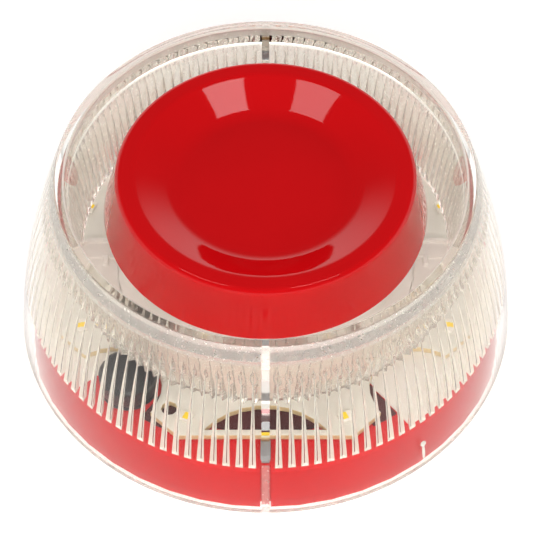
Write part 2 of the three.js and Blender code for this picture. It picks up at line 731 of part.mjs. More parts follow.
// ---- Sounder -------------------------------------------------------------------------------------
function sounderTower() {
  const low = DECK_TOP + SEAT;
  const inner = TOWER_INNER_R;
  const flangeLow = BOARD_TOP + SEAT;
  const flangeTop = flangeLow + TOWER_FLANGE;
  const ledgeLow = LEDGE_TOP - LEDGE_THICK;
  const outline = [
    [inner, low],
    [TOWER_R, low],
    [TOWER_R, flangeLow],
    [TOWER_FLANGE_R, flangeLow],
    [TOWER_FLANGE_R, flangeTop],
    [TOWER_R, flangeTop],
    [TOWER_R, TOWER_TOP],
    [inner, TOWER_TOP],
    [inner, THROAT_LOW - SEAT],
    [inner - SHELF_WIDTH, THROAT_LOW - SEAT],
    [inner - SHELF_WIDTH, LEDGE_TOP],
    [LEDGE_R, LEDGE_TOP],
    [LEDGE_R, ledgeLow],
    [inner, ledgeLow],
  ];
  const whole = solid(turned(outline, CAP_SEGMENTS));
  const start = spread(POST_COUNT, TOWER_SCREW_START_DEG);
  const bossR = TOWER_SCREW.shank + TOWER_WALL;
  const boreTop = DECK_LOW + TOWER_SCREW.length + THROUGH;
  const bosses = start.map((deg) => towerScrewBore(deg, low, boreTop + THROUGH, bossR));
  const bores = start.map((deg) =>
    towerScrewBore(deg, low - THROUGH, boreTop, TOWER_SCREW.shank + FIT),
  );
  return cut(join(whole, ...bosses), ...bores);
}

function piezoSeal() {
  return tube(LEDGE_R + SEAL_WIDTH + FIT, LEDGE_R + FIT, SEAL_LOW, SEAL_LOW + SEAL_THICK, ROUND_SEGMENTS);
}

function throatPlate() {
  const outer = TOWER_INNER_R - FIT;
  const pressLow = PIEZO_TOP + SEAT;
  const outline = [
    [THROAT_R, THROAT_LOW],
    [PIEZO_R - PRESS_RIM, THROAT_LOW],
    [PIEZO_R - PRESS_RIM, pressLow],
    [PIEZO_R, pressLow],
    [PIEZO_R, THROAT_LOW],
    [outer, THROAT_LOW],
    [outer, THROAT_TOP],
    [THROAT_R + THROAT_THICK / 2, THROAT_TOP],
    [THROAT_R, THROAT_TOP - THROAT_THICK / 2],
  ];
  const holes = spread(POST_COUNT).map((degrees) =>
    atAngle(rod(CAP_SCREW.shank + FIT, THROAT_LOW - THROUGH, THROAT_TOP + THROUGH), POST_CIRCLE_R, degrees),
  );
  return cut(solid(turned(outline, ROUND_SEGMENTS)), ...holes);
}

function springPin(side, tip) {
  return rod(SPRING_PIN_R, MAIN_BOARD_TOP + SEAT, tip - SEAT).translate(SPRING_PIN_AT[side], 0, 0);
}

// Dish surface: a level floor inside a sloping wall.
function dishZ(r) {
  const slope = Math.tan(radians(DISH_SLOPE_DEG));
  return CAP_TOP - Math.min(DISH_DEPTH, (DISH_R - r) * slope);
}

// Points of an arc in radius and height.
function arcPoints([r, z], radius, fromDeg, toDeg, steps) {
  return Array.from({ length: steps + 1 }, (_, index) => {
    const angle = radians(fromDeg + ((toDeg - fromDeg) * index) / steps);
    return [r + radius * Math.cos(angle), z + radius * Math.sin(angle)];
  });
}

function dishPoints(drop) {
  const top = CAP_TOP - drop;
  const half = Math.tan(radians(DISH_SLOPE_DEG / 2));
  const floorR = DISH_R - DISH_DEPTH / Math.tan(radians(DISH_SLOPE_DEG));
  const edge = [DISH_R + DISH_EDGE_ROUND * half, top - DISH_EDGE_ROUND];
  const hollow = [floorR - DISH_FLOOR_ROUND * half, top - DISH_DEPTH + DISH_FLOOR_ROUND];
  return [
    ...arcPoints(edge, DISH_EDGE_ROUND, 90, 90 + DISH_SLOPE_DEG, DISH_STEPS),
    ...arcPoints(hollow, DISH_FLOOR_ROUND, DISH_SLOPE_DEG - 90, -90, DISH_STEPS),
  ];
}

function lipPoints() {
  const centre = [CAP_TOP_R - CAP_LIP_R, CAP_TOP - CAP_LIP_R];
  return arcPoints(centre, CAP_LIP_R, 0, 90, LIP_STEPS);
}

function capShell() {
  const outline = [
    [CAP_FOOT_R, CAP_LOW],
    ...lipPoints(),
    ...dishPoints(0),
    [0, CAP_TOP - DISH_DEPTH],
    [0, CAP_TOP - DISH_DEPTH - CAP_WALL],
    ...dishPoints(CAP_WALL).reverse(),
    [CAP_TOP_R - CAP_WALL, CAP_TOP - CAP_LIP_R - CAP_WALL],
    [CAP_FOOT_R - CAP_WALL, CAP_LOW],
  ];
  return turned(outline, CAP_SEGMENTS);
}

function soundCap() {
  const postTop = dishZ(POST_CIRCLE_R) - CAP_WALL + SINK;
  const postLow = THROAT_TOP + SEAT;
  const boreTop = THROAT_LOW - SEAT + CAP_SCREW.length + FIT;
  const posts = spread(POST_COUNT).map((deg) =>
    atAngle(rod(POST_R, postLow, postTop), POST_CIRCLE_R, deg),
  );
  const bores = spread(POST_COUNT).map((deg) =>
    atAngle(rod(CAP_SCREW.shank + FIT, postLow - THROUGH, boreTop), POST_CIRCLE_R, deg),
  );
  return cut(join(solid(capShell()), ...posts), ...bores);
}

// ---- Main board and rear cover -------------------------------------------------------------------
function towerHeadHole(degrees, low, high) {
  return towerScrewBore(degrees, low, high, TOWER_SCREW.head + FIT);
}

function mainBoard() {
  const low = MAIN_BOARD_LOW - THROUGH;
  const high = MAIN_BOARD_TOP + THROUGH;
  const bosses = spread(BOSS_COUNT, BOSS_START_DEG).map((deg) =>
    atAngle(rod(BOSS_R + FIT, low, high), BOSS_CIRCLE_R, deg),
  );
  const heads = spread(POST_COUNT, TOWER_SCREW_START_DEG).map((deg) => towerHeadHole(deg, low, high));
  const radius = coverR() - MAIN_BOARD_INSET;
  const disc = solid(rod(radius, MAIN_BOARD_LOW, MAIN_BOARD_TOP, BASE_SEGMENTS));
  return cut(disc, ...bosses, ...heads);
}

function coverR() {
  return bodyOuterR(COVER_TOP) - BODY_WALL - COVER_INSET;
}

function rearCover() {
  const low = COVER_LOW - THROUGH;
  const high = COVER_TOP + THROUGH;
  const [long, wide] = SWITCH_SIZE;
  const switchHole = atAngle(block(wide + 2 * FIT, long + 2 * FIT, low, high), SWITCH_R, SWITCH_DEG);
  const side = VOLUME_SIZE + 2 * FIT;
  const volumeHole = atAngle(block(side, side, low, high), VOLUME_R, VOLUME_DEG);
  const slotWide = CONTACT_WIDTH + 2 * FIT;
  const slotLong = CONTACT_FOOT + 2 * FIT;
  const slots = contactDegrees().map((deg) =>
    atAngle(block(slotLong, slotWide, low, high), CONTACT_R + CONTACT_FOOT / 2, deg),
  );
  const screwHoles = spread(BOSS_COUNT, BOSS_START_DEG).map((deg) =>
    atAngle(rod(COVER_SCREW.shank + FIT, low, high), BOSS_CIRCLE_R, deg),
  );
  const sinks = spread(BOSS_COUNT, BOSS_START_DEG).map((deg) =>
    atAngle(rod(COVER_SCREW.head + FIT, low, COVER_LOW + COVER_SINK), BOSS_CIRCLE_R, deg),
  );
  const disc = solid(rod(coverR(), COVER_LOW, COVER_TOP, BODY_SEGMENTS));
  return cut(disc, switchHole, volumeHole, ...slots, ...screwHoles, ...sinks);
}

function boardLink() {
  const [long, wide] = LINK_SIZE;
  return atAngle(block(wide, long, MAIN_BOARD_TOP + SEAT, BOARD_LOW - SEAT), LINK_R, LINK_DEG);
}

function coilCore() {
  const low = MAIN_BOARD_TOP + SEAT;
  const high = low + COIL_HEIGHT;
  const outline = [
    [0, low],
    [COIL_R, low],
    [COIL_R, low + COIL_FLANGE],
    [COIL_NECK_R, low + COIL_FLANGE],
    [COIL_NECK_R, high - COIL_FLANGE],
    [COIL_R, high - COIL_FLANGE],
    [COIL_R, high],
    [0, high],
  ];
  return atAngle(turned(outline, SMALL_SEGMENTS), COIL_CENTRE_R, COIL_DEG);
}

function coilWinding() {
  const low = MAIN_BOARD_TOP + SEAT + COIL_FLANGE + SEAT;
  const high = MAIN_BOARD_TOP + COIL_HEIGHT - COIL_FLANGE;
  const winding = tube(WINDING_R, COIL_NECK_R + SEAT, low, high, SMALL_SEGMENTS);
  return atAngle(winding, COIL_CENTRE_R, COIL_DEG);
}

function leverY(index) {
  return (index - (LEVER_COUNT - 1) / 2) * LEVER_PITCH;
}

function toneSwitch() {
  const [long, wide] = SWITCH_SIZE;
  const body = solid(block(wide, long, SWITCH_LOW, MAIN_BOARD_LOW - SEAT));
  const slotLong = LEVER_LONG + LEVER_TRAVEL + 2 * FIT;
  const slotTop = SWITCH_LOW + LEVER_DEEP + FIT;
  const slots = Array.from({ length: LEVER_COUNT }, (_, index) =>
    block(slotLong, LEVER_WIDTH + 2 * FIT, SWITCH_LOW - THROUGH, slotTop).translate(0, leverY(index), 0),
  );
  return atAngle(geometryOf(cut(body, ...slots)), SWITCH_R, SWITCH_DEG);
}

function toneLever(index) {
  const top = SWITCH_LOW + LEVER_DEEP;
  const lever = block(LEVER_LONG, LEVER_WIDTH, LEVER_LOW, top);
  return atAngle(lever.translate(-LEVER_TRAVEL / 2, leverY(index), 0), SWITCH_R, SWITCH_DEG);
}

function volumeBody() {
  const top = MAIN_BOARD_LOW - SEAT;
  const boreTop = SWITCH_LOW + LEVER_DEEP + FIT;
  const bore = rod(ROTOR_R + FIT, SWITCH_LOW - THROUGH, boreTop, SMALL_SEGMENTS);
  const body = cut(solid(block(VOLUME_SIZE, VOLUME_SIZE, SWITCH_LOW, top)), bore);
  return atAngle(geometryOf(body), VOLUME_R, VOLUME_DEG);
}

function volumeRotor() {
  const slotTop = ROTOR_LOW + ROTOR_SLOT_DEEP;
  const slot = block(2 * ROTOR_R + THROUGH, ROTOR_SLOT, ROTOR_LOW - THROUGH, slotTop);
  const round = rod(ROTOR_R, ROTOR_LOW, SWITCH_LOW + LEVER_DEEP, SMALL_SEGMENTS);
  return atAngle(geometryOf(cut(solid(round), slot)), VOLUME_R, VOLUME_DEG);
}

// ---- Wall base and terminals ---------------------------------------------------------------------
function terminalDegrees() {
  return spread(TERMINAL_COUNT, TERMINAL_START_DEG);
}

function contactDegrees() {
  return terminalDegrees().map((degrees) => degrees + CONTACT_DEG);
}

function wallSlot(degrees) {
  const half = SLOT_LENGTH / 2;
  const shape = new THREE.Shape();
  shape.absarc(0, half, SLOT_R, 0, Math.PI, false);
  shape.absarc(0, -half, SLOT_R, Math.PI, 2 * Math.PI, false);
  return atAngle(plate(shape, -THROUGH, BASE_FLOOR + THROUGH), SLOT_CIRCLE_R, degrees);
}

// A lug that the body's hook turns under, with a stop at its end.
function bayonetLug(degrees) {
  const inner = BASE_RIM_R - SINK;
  const outer = BASE_RIM_R + BAYONET_REACH;
  const stopMiddle = degrees - BAYONET_DEG / 2 - STOP_GAP_DEG - STOP_DEG / 2;
  const lugSpan = BAYONET_DEG + STOP_GAP_DEG + STOP_DEG;
  const lugMiddle = degrees - (STOP_GAP_DEG + STOP_DEG) / 2;
  return [
    sector(inner, outer, LUG_LOW, LUG_TOP, lugMiddle, lugSpan),
    sector(inner, outer, HOOK_LOW, LUG_LOW + SINK, stopMiddle, STOP_DEG),
  ];
}

function basePlate() {
  const inner = BASE_RIM_R - BASE_RIM_WALL;
  const outline = [
    [ENTRY_R, 0],
    [BASE_RIM_R, 0],
    [BASE_RIM_R, BASE_RIM_TOP],
    [inner, BASE_RIM_TOP],
    [inner, BASE_FLOOR],
    [ENTRY_R, BASE_FLOOR],
  ];
  const grooveOut = GASKET_R + GASKET_WIDTH + FIT;
  const grooveTop = GASKET_THICK + GASKET_PLAY;
  const groove = tube(grooveOut, GASKET_R - FIT, -THROUGH, grooveTop, BASE_SEGMENTS);
  const lugs = spread(BAYONET_COUNT, BAYONET_START_DEG).flatMap(bayonetLug);
  const whole = join(solid(turned(outline, BASE_SEGMENTS)), ...lugs);
  return cut(whole, groove, ...spread(SLOT_COUNT).map(wallSlot));
}

function baseGasket() {
  return tube(GASKET_R + GASKET_WIDTH, GASKET_R, 0, GASKET_THICK, BASE_SEGMENTS);
}

function terminalBores(low, high, radius) {
  return terminalDegrees().map((degrees) =>
    atAngle(rod(radius, low, high), TERMINAL_R, degrees + TERMINAL_SCREW_DEG),
  );
}

function terminalBlock() {
  const ring = solid(tube(BLOCK_OUT_R, BLOCK_IN_R, BLOCK_LOW, BLOCK_TOP, ROUND_SEGMENTS));
  const low = TERMINAL_HEAD_LOW - TERMINAL_SCREW.length - FIT;
  return cut(ring, ...terminalBores(low, BLOCK_TOP + THROUGH, TERMINAL_SCREW.shank + FIT));
}

function terminalPlate(degrees) {
  const flat = solid(sector(PLATE_IN_R, PLATE_OUT_R, PLATE_LOW, PLATE_TOP, degrees, PLATE_DEG));
  const hole = rod(TERMINAL_SCREW.shank + FIT, PLATE_LOW - THROUGH, PLATE_TOP + THROUGH);
  return cut(flat, atAngle(hole, TERMINAL_R, degrees + TERMINAL_SCREW_DEG));
}

// A bent strip that hangs from the main board and presses on its terminal plate.
function headContact(degrees) {
  const footLow = PLATE_TOP + FIT;
  const outline = [
    [CONTACT_R, footLow],
    [CONTACT_R + CONTACT_FOOT, footLow],
    [CONTACT_R + CONTACT_FOOT, footLow + CONTACT_THICK],
    [CONTACT_R + CONTACT_THICK, footLow + CONTACT_THICK],
    [CONTACT_R + CONTACT_THICK, MAIN_BOARD_LOW - SEAT],
    [CONTACT_R, MAIN_BOARD_LOW - SEAT],
  ];
  return radialPlate(outline, CONTACT_WIDTH, degrees);
}

// ---- Assembly ------------------------------------------------------------------------------------
add("base_plate", basePlate(), whitePlastic);
add("base_gasket", baseGasket(), rubber);
add("terminal_block", terminalBlock(), blackPlastic);
terminalDegrees().forEach((degrees, index) => {
  const place = degrees + TERMINAL_SCREW_DEG;
  const clamp = screw(TERMINAL_SCREW).translate(0, 0, TERMINAL_HEAD_LOW);
  add(`terminal_plate_${index + 1}`, terminalPlate(degrees), brass);
  add(`terminal_screw_${index + 1}`, atAngle(clamp, TERMINAL_R, place), steel);
  add(`head_contact_${index + 1}`, headContact(degrees + CONTACT_DEG), steel);
});

add("red_body", redBody(), redSatin);
add("rear_cover", rearCover(), whitePlastic);
add("main_board", mainBoard(), boardGreen);
add("coil_core", coilCore(), ferrite);
add("coil_winding", coilWinding(), copper);
add("board_link", boardLink(), blackPlastic);
add("tone_switch", toneSwitch(), redSatin);
for (let index = 0; index < LEVER_COUNT; index += 1) {
  add(`tone_lever_${index + 1}`, toneLever(index), whitePlastic);
}
add("volume_body", volumeBody(), blackPlastic);
add("volume_rotor", volumeRotor(), whitePlastic);

spread(BOSS_COUNT, BOSS_START_DEG).forEach((degrees, index) => {
  const fixing = screw(COVER_SCREW).rotateX(Math.PI);
  const seat = COVER_LOW + COVER_SINK - SEAT;
  add(`cover_screw_${index + 1}`, atAngle(fixing.translate(0, 0, seat), BOSS_CIRCLE_R, degrees), steel);
});
spread(POST_COUNT, TOWER_SCREW_START_DEG).forEach((degrees, index) => {
  const fixing = screw(TOWER_SCREW).rotateX(Math.PI).translate(0, 0, DECK_LOW - SEAT);
  add(`tower_screw_${index + 1}`, atAngle(fixing, TOWER_SCREW_CIRCLE_R, degrees), steel);
});
spread(POST_COUNT).forEach((degrees, index) => {
  const fixing = screw(CAP_SCREW).rotateX(Math.PI).translate(0, 0, THROAT_LOW - SEAT);
  add(`cap_screw_${index + 1}`, atAngle(fixing, POST_CIRCLE_R, degrees), steel);
});

add("light_board", lightBoard(), boardWhite);
spread(LED_COUNT, LED_START_DEG).forEach((degrees, index) => {
  add(`led_${index + 1}`, atAngle(led(), LED_CIRCLE_R, degrees), ledPackage);
});
add("status_led", statusLed(), ledPackage);
add("storage_capacitor", storageCapacitor(), blackPlastic);
add("board_retainer_right", retainer(1), whitePlastic);
add("board_retainer_left", retainer(-1), whitePlastic);
add("lens_catch_front", lensCatch(SEAM_DEGREES[0]), greyPlastic);
add("lens_catch_back", lensCatch(SEAM_DEGREES[1]), greyPlastic);

add("sounder_tower", sounderTower(), whitePlastic);
add("piezo_seal", piezoSeal(), rubber);
add("piezo_ceramic", rod(CERAMIC_R, CERAMIC_LOW, CERAMIC_LOW + CERAMIC_THICK, ROUND_SEGMENTS), ceramic);
add("piezo_disc", rod(PIEZO_R, PIEZO_LOW, PIEZO_TOP, ROUND_SEGMENTS), brass);
add("piezo_pin_1", springPin(0, CERAMIC_LOW), steel);
add("piezo_pin_2", springPin(1, PIEZO_LOW), steel);
add("throat_plate", throatPlate(), whitePlastic);
add("sound_cap", soundCap(), redGloss);
add("clear_lens", clearLens(), clearPlastic);

export default group;
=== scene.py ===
"""Looks of a wall sounder beacon: a clear ribbed lens round a red dished cap, on a twist-off wall base."""

import json
import math

import bmesh
import bpy
import numpy as np
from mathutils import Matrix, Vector


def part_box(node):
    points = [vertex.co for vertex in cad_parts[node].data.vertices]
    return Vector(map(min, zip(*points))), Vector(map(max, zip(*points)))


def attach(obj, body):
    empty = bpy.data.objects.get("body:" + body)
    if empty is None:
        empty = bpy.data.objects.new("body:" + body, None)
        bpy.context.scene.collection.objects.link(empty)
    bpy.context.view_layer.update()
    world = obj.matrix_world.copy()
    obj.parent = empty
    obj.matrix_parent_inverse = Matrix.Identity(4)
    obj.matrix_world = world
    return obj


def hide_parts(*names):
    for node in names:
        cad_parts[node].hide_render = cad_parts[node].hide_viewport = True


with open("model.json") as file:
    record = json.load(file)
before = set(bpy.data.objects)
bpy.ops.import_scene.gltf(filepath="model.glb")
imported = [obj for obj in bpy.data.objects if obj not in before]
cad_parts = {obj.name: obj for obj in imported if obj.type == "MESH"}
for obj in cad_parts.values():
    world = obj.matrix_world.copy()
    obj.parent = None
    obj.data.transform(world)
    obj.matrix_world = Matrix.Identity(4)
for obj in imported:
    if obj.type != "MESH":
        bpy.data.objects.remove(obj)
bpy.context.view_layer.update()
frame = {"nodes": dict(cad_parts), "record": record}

MM = 0.001

# ---- Sizes in millimetres ------------------------------------------------------------------------
LENS_FOOT_R, LENS_RIM_R, LENS_BULGE, LENS_WALL, FOOT_CHAMFER = 56.0, 45.1, 1.65, 2.0, 0.2
FUNNEL_WALL, FUNNEL_LEAN, FUNNEL_CORNER = 1.6, 2.6, 0.5
FUNNEL_ABOVE_BOARD, CAVITY_CORNER = 9.0, 0.6
RIM_WIDTH, RIM_BAND, RIM_ROUND = 2.1, 5.3, 0.45
RIB_COUNT, RIB_HALF, RIB_CREST, RIB_END_HALF = 120, 0.8, 0.1, 0.12
RIB_LOW, RIB_TIP, RIB_DEEP, RIB_FOOT_STEP = 14.1, 39.6, 1.3, 0.02
CREST_LEAST = 0.3
TOOTH_TIP, TOOTH_DEEP = 40.6, 0.9
WEB_HALF, WEB_DEPTH = 0.85, 1.5
TONGUE_TOP, TONGUE_TIP, TONGUE_LOW, TONGUE_INSET = 2.4, 1.3, 16.8, 0.7
DECK_TOP = 12.9
BOARD_REACH, BOARD_LOW, BOARD_TOP = 44.7, 13.4, 15.0
SEAMS = (-90, 90)
# How many rows of faces each stretch of the lens wall has.
WALL_ROWS, FUNNEL_ROWS, TOOTH_ROWS, RIB_ROWS, SKIRT_ROWS, WEB_ROWS = 22, 12, 14, 16, 7, 8


def box_mm(node):
    """The low and high corner of a node, in millimetres."""
    low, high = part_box(node)
    return [v / MM for v in low], [v / MM for v in high]


LENS_LOW, LENS_TOP = box_mm("clear_lens")[0][2], box_mm("clear_lens")[1][2]
CAVITY_TOP = LENS_TOP - RIM_BAND
FUNNEL_LOW = BOARD_TOP + FUNNEL_ABOVE_BOARD

# ---- Camera --------------------------------------------------------------------------------------
VIEW_FROM = Vector((0.2, -281.4, 382.8)) * MM
VIEW_AT = Vector((0.2, 0.0, 14.6)) * MM
FOCAL_LENGTH, SENSOR_WIDTH = 138.6, 36.0


def camera():
    """A long lens from the front and above, looking at the middle of the beacon."""
    data = bpy.data.cameras.new("camera")
    data.lens = FOCAL_LENGTH
    data.sensor_width = SENSOR_WIDTH
    data.clip_start, data.clip_end = 0.01, 20.0
    made = bpy.data.objects.new("camera", data)
    made.location = VIEW_FROM
    made.rotation_mode = "QUATERNION"
    made.rotation_quaternion = (VIEW_AT - VIEW_FROM).to_track_quat("-Z", "Y")
    bpy.context.scene.collection.objects.link(made)
    bpy.context.scene.camera = made


camera()

# ---- Materials -----------------------------------------------------------------------------------
PATTERN_LOW, PATTERN_HIGH = 0.3, 0.7
PLASTIC_IOR, POLYCARBONATE_IOR = 1.53, 1.585
DRIFT_MM, DRIFT_DETAIL, METAL_RELIEF = 18.0, 3.0, 0.002
MASK_THICK, MASK_DRIFT_MM, FIBRE_MM, TRACK_PITCH, TRACK_THICK = 0.03, 14.0, 0.35, 3.2, 0.015


def linear(hex_colour):
    """sRGB hex to a linear colour with alpha."""
    parts = [int(hex_colour[i : i + 2], 16) / 255 for i in (1, 3, 5)]
    return [c / 12.92 if c <= 0.04045 else ((c + 0.055) / 1.055) ** 2.4 for c in parts] + [1.0]


def add_node(tree, kind, inputs=None, **settings):
    """One node with its settings, and its inputs given as values or as sockets to link."""
    made = tree.nodes.new(kind)
    for name, value in settings.items():
        setattr(made, name, value)
    for name, value in (inputs or {}).items():
        if isinstance(value, bpy.types.NodeSocket):
            tree.links.new(value, made.inputs[name])
        else:
            made.inputs[name].default_value = value
    return made


def new_material(name):
    """An empty material, its tree, and the piece's own place in space."""
    made = bpy.data.materials.new(name)
    made.use_nodes = True
    made.node_tree.nodes.clear()
    place = add_node(made.node_tree, "ShaderNodeTexCoord").outputs["Object"]
    return made, made.node_tree, place


def cloud(place, millimetres, detail, seed=0.0):
    """The inputs of a noise whose grain is that many millimetres."""
    return {"Vector": place, "W": seed, "Scale": 1 / (millimetres * MM), "Detail": detail}


def between(pattern, low, high):
    """The inputs that turn a pattern into a value from low to high."""
    return {"Value": pattern, "From Min": PATTERN_LOW, "From Max": PATTERN_HIGH,
            "To Min": low, "To Max": high}


def moulded_plastic(name, light, dark, gloss, grain, relief, specular=0.5):
    """Injection moulded plastic. The tool's grain breaks its gloss up, and the colour drifts a little
    from where the melt came in to where it stopped."""
    made, tree, place = new_material(name)
    drift = add_node(tree, "ShaderNodeTexNoise", cloud(place, DRIFT_MM, DRIFT_DETAIL), noise_dimensions="4D")
    texture = add_node(tree, "ShaderNodeTexNoise", cloud(place, grain, 4.0, 1.7), noise_dimensions="4D")
    share = add_node(tree, "ShaderNodeMapRange", between(drift.outputs["Fac"], 0.0, 1.0))
    colour = add_node(tree, "ShaderNodeMix", {
        "Factor": share.outputs["Result"], 6: linear(dark), 7: linear(light),
    }, data_type="RGBA")
    rough = add_node(tree, "ShaderNodeMapRange", between(texture.outputs["Fac"], gloss * 0.85, gloss * 1.2))
    normal = add_node(tree, "ShaderNodeBump", {"Height": texture.outputs["Fac"], "Distance": relief * MM})
    shader = add_node(tree, "ShaderNodeBsdfPrincipled", {
        "Base Color": colour.outputs[2],
        "Roughness": rough.outputs["Result"],
        "IOR": PLASTIC_IOR,
        "Specular IOR Level": specular,
        "Normal": normal.outputs["Normal"],
    })
    add_node(tree, "ShaderNodeOutputMaterial", {"Surface": shader.outputs[0]})
    return made


def polycarbonate(name, light, dark, gloss, clear_share, grain, relief, lamp_tint, glint):
    """Clear polycarbonate. A polished tool leaves it water clear, a spark-eroded tool leaves it milky.
    Lamps reach what is inside, as they do through a real clear cover."""
    made, tree, place = new_material(name)
    wave = add_node(tree, "ShaderNodeTexNoise", cloud(place, grain, 2.0), noise_dimensions="4D")
    share = add_node(tree, "ShaderNodeMapRange", between(wave.outputs["Fac"], 0.0, 1.0))
    colour = add_node(tree, "ShaderNodeMix", {
        "Factor": share.outputs["Result"], 6: linear(dark), 7: linear(light),
    }, data_type="RGBA")
    rough = add_node(tree, "ShaderNodeMapRange", between(wave.outputs["Fac"], gloss * 0.8, gloss * 1.2))
    normal = add_node(tree, "ShaderNodeBump", {"Height": wave.outputs["Fac"], "Distance": relief * MM})
    clear = add_node(tree, "ShaderNodeBsdfPrincipled", {
        "Base Color": colour.outputs[2],
        "Roughness": rough.outputs["Result"],
        "IOR": POLYCARBONATE_IOR,
        "Specular Tint": (glint, glint, glint, 1.0),
        "Transmission Weight": clear_share,
        "Normal": normal.outputs["Normal"],
    })
    through = add_node(tree, "ShaderNodeBsdfTransparent", {"Color": linear(lamp_tint)})
    lamp = add_node(tree, "ShaderNodeLightPath").outputs["Is Shadow Ray"]
    mixed = add_node(tree, "ShaderNodeMixShader", {"Fac": lamp, 1: clear.outputs[0], 2: through.outputs[0]})
    add_node(tree, "ShaderNodeOutputMaterial", {"Surface": mixed.outputs[0]})
    return made


def circuit_board(name, light, dark, edge_light, edge_dark):
    """White solder mask over copper tracks, which stand up under it as faint lines, and bare glass
    epoxy, straw coloured and fibrous, where the edge was routed."""
    made, tree, place = new_material(name)
    height = add_node(tree, "ShaderNodeSeparateXYZ", {"Vector": place}).outputs["Z"]
    edge = add_node(tree, "ShaderNodeMath", {
        0: height, 1: (BOARD_TOP + BOARD_LOW) / 2 * MM, 2: ((BOARD_TOP - BOARD_LOW) / 2 - MASK_THICK) * MM,
    }, operation="COMPARE").outputs[0]
    drift = add_node(tree, "ShaderNodeTexNoise", cloud(place, MASK_DRIFT_MM, 3.0),
                     noise_dimensions="4D").outputs["Fac"]
    fibre = add_node(tree, "ShaderNodeTexNoise", cloud(place, FIBRE_MM, 3.0, 2.1), noise_dimensions="4D")
    mask_share = add_node(tree, "ShaderNodeMapRange", between(drift, 0.0, 1.0))
    mask = add_node(tree, "ShaderNodeMix", {
        "Factor": mask_share.outputs["Result"], 6: linear(dark), 7: linear(light),
    }, data_type="RGBA")
    epoxy_share = add_node(tree, "ShaderNodeMapRange", between(fibre.outputs["Fac"], 0.0, 1.0))
    epoxy = add_node(tree, "ShaderNodeMix", {
        "Factor": epoxy_share.outputs["Result"], 6: linear(edge_dark), 7: linear(edge_light),
    }, data_type="RGBA")
    colour = add_node(tree, "ShaderNodeMix", {
        "Factor": edge, 6: mask.outputs[2], 7: epoxy.outputs[2],
    }, data_type="RGBA")
    tracks = add_node(tree, "ShaderNodeTexVoronoi", {"Vector": place, "Scale": 1 / (TRACK_PITCH * MM)},
                      distance="MANHATTAN", feature="DISTANCE_TO_EDGE").outputs["Distance"]
    steps = add_node(tree, "ShaderNodeMapRange", {"Value": tracks, "From Min": 0.08, "From Max": 0.12})
    normal = add_node(tree, "ShaderNodeBump", {
        "Height": steps.outputs["Result"], "Distance": TRACK_THICK * MM,
    })
    rough = add_node(tree, "ShaderNodeMapRange", between(drift, 0.36, 0.46))
    shader = add_node(tree, "ShaderNodeBsdfPrincipled", {
        "Base Color": colour.outputs[2],
        "Roughness": rough.outputs["Result"],
        "Normal": normal.outputs["Normal"],
    })
    add_node(tree, "ShaderNodeOutputMaterial", {"Surface": shader.outputs[0]})
    return made


def metal(name, light, dark, gloss, grain):
    """Rolled or plated metal. Patches of rougher and smoother finish keep its reflections broken."""
    made, tree, place = new_material(name)
    patch = add_node(tree, "ShaderNodeTexNoise", cloud(place, grain, 5.0, 0.4), noise_dimensions="4D")
    share = add_node(tree, "ShaderNodeMapRange", between(patch.outputs["Fac"], 0.0, 1.0))
    colour = add_node(tree, "ShaderNodeMix", {
        "Factor": share.outputs["Result"], 6: linear(dark), 7: linear(light),
    }, data_type="RGBA")
    rough = add_node(tree, "ShaderNodeMapRange", between(patch.outputs["Fac"], gloss * 0.7, gloss * 1.4))
    normal = add_node(tree, "ShaderNodeBump", {
        "Height": patch.outputs["Fac"], "Distance": METAL_RELIEF * MM,
    })
    shader = add_node(tree, "ShaderNodeBsdfPrincipled", {
        "Base Color": colour.outputs[2],
        "Metallic": 1.0,
        "Roughness": rough.outputs["Result"],
        "Normal": normal.outputs["Normal"],
    })
    add_node(tree, "ShaderNodeOutputMaterial", {"Surface": shader.outputs[0]})
    return made


# Polycarbonate moulded in a polished tool: sharp reflections, and the inside seen without haze.
CLEAR = polycarbonate("polished_polycarbonate", "#FDFCF9", "#FBF9F5", 0.02, 1.0, 9.0, 0.002, "#F7F3EF",
                      0.14)
# Polycarbonate from a spark-eroded tool: a soft cream haze that hides edges behind it.
FROSTED = polycarbonate("frosted_polycarbonate", "#FCFDF6", "#F7F8EF", 0.24, 0.8, 0.7, 0.006, "#ECE2E0", 1.0)
# Polycarbonate on the ribs' slopes, which turn most light aside: they read as pale cream needles.
# On the rim's inner edge the same pale finish is a painted highlight.
PRISM = polycarbonate("prism_polycarbonate", "#FEFDF4", "#FAF6EB", 0.1, 0.36, 0.9, 0.003, "#ECE2E0", 1.0)
# Polycarbonate on the ribs' crests, tinted dark grey brown as painted shade for the dark inside that
# each crest looks back into: a thin dark line down each.
PAINTED_CREST_SHADE = polycarbonate("prism_crest_painted_shade", "#8A7C7C", "#746868", 0.06, 0.9, 0.9, 0.003, "#8A7C7C",
                      0.2)
# ABS moulded in a polished tool: deep red under sharp mirrored lamps.
RED_GLOSS = moulded_plastic("gloss_red_abs", "#DE070F", "#D8060D", 0.04, 0.9, 0.0005, 0.3)
# ABS moulded in a lightly eroded tool: an even red with no highlight of its own.
RED_SATIN = moulded_plastic("satin_red_abs", "#D3050D", "#CB040C", 0.4, 0.5, 0.012, 0.1)
# White ABS from a lightly eroded tool: soft shading, slightly warm.
WHITE = moulded_plastic("white_abs", "#EFEDE8", "#E4E1DB", 0.38, 0.5, 0.01)
# Printed white mask on glass epoxy: a flat grey white face with a straw coloured cut edge.
BOARD = circuit_board("white_solder_mask", "#E4E4DC", "#D6D6CD", "#E2CFA4", "#CDB888")
# Printed green mask: a dark leaf green with a soft shine.
GREEN = moulded_plastic("green_solder_mask", "#2F7A4C", "#24613C", 0.35, 0.6, 0.01)
# Moulded black nylon: near black with a broad grey shine.
BLACK = moulded_plastic("black_nylon", "#1A1A1C", "#121214", 0.35, 0.5, 0.008)
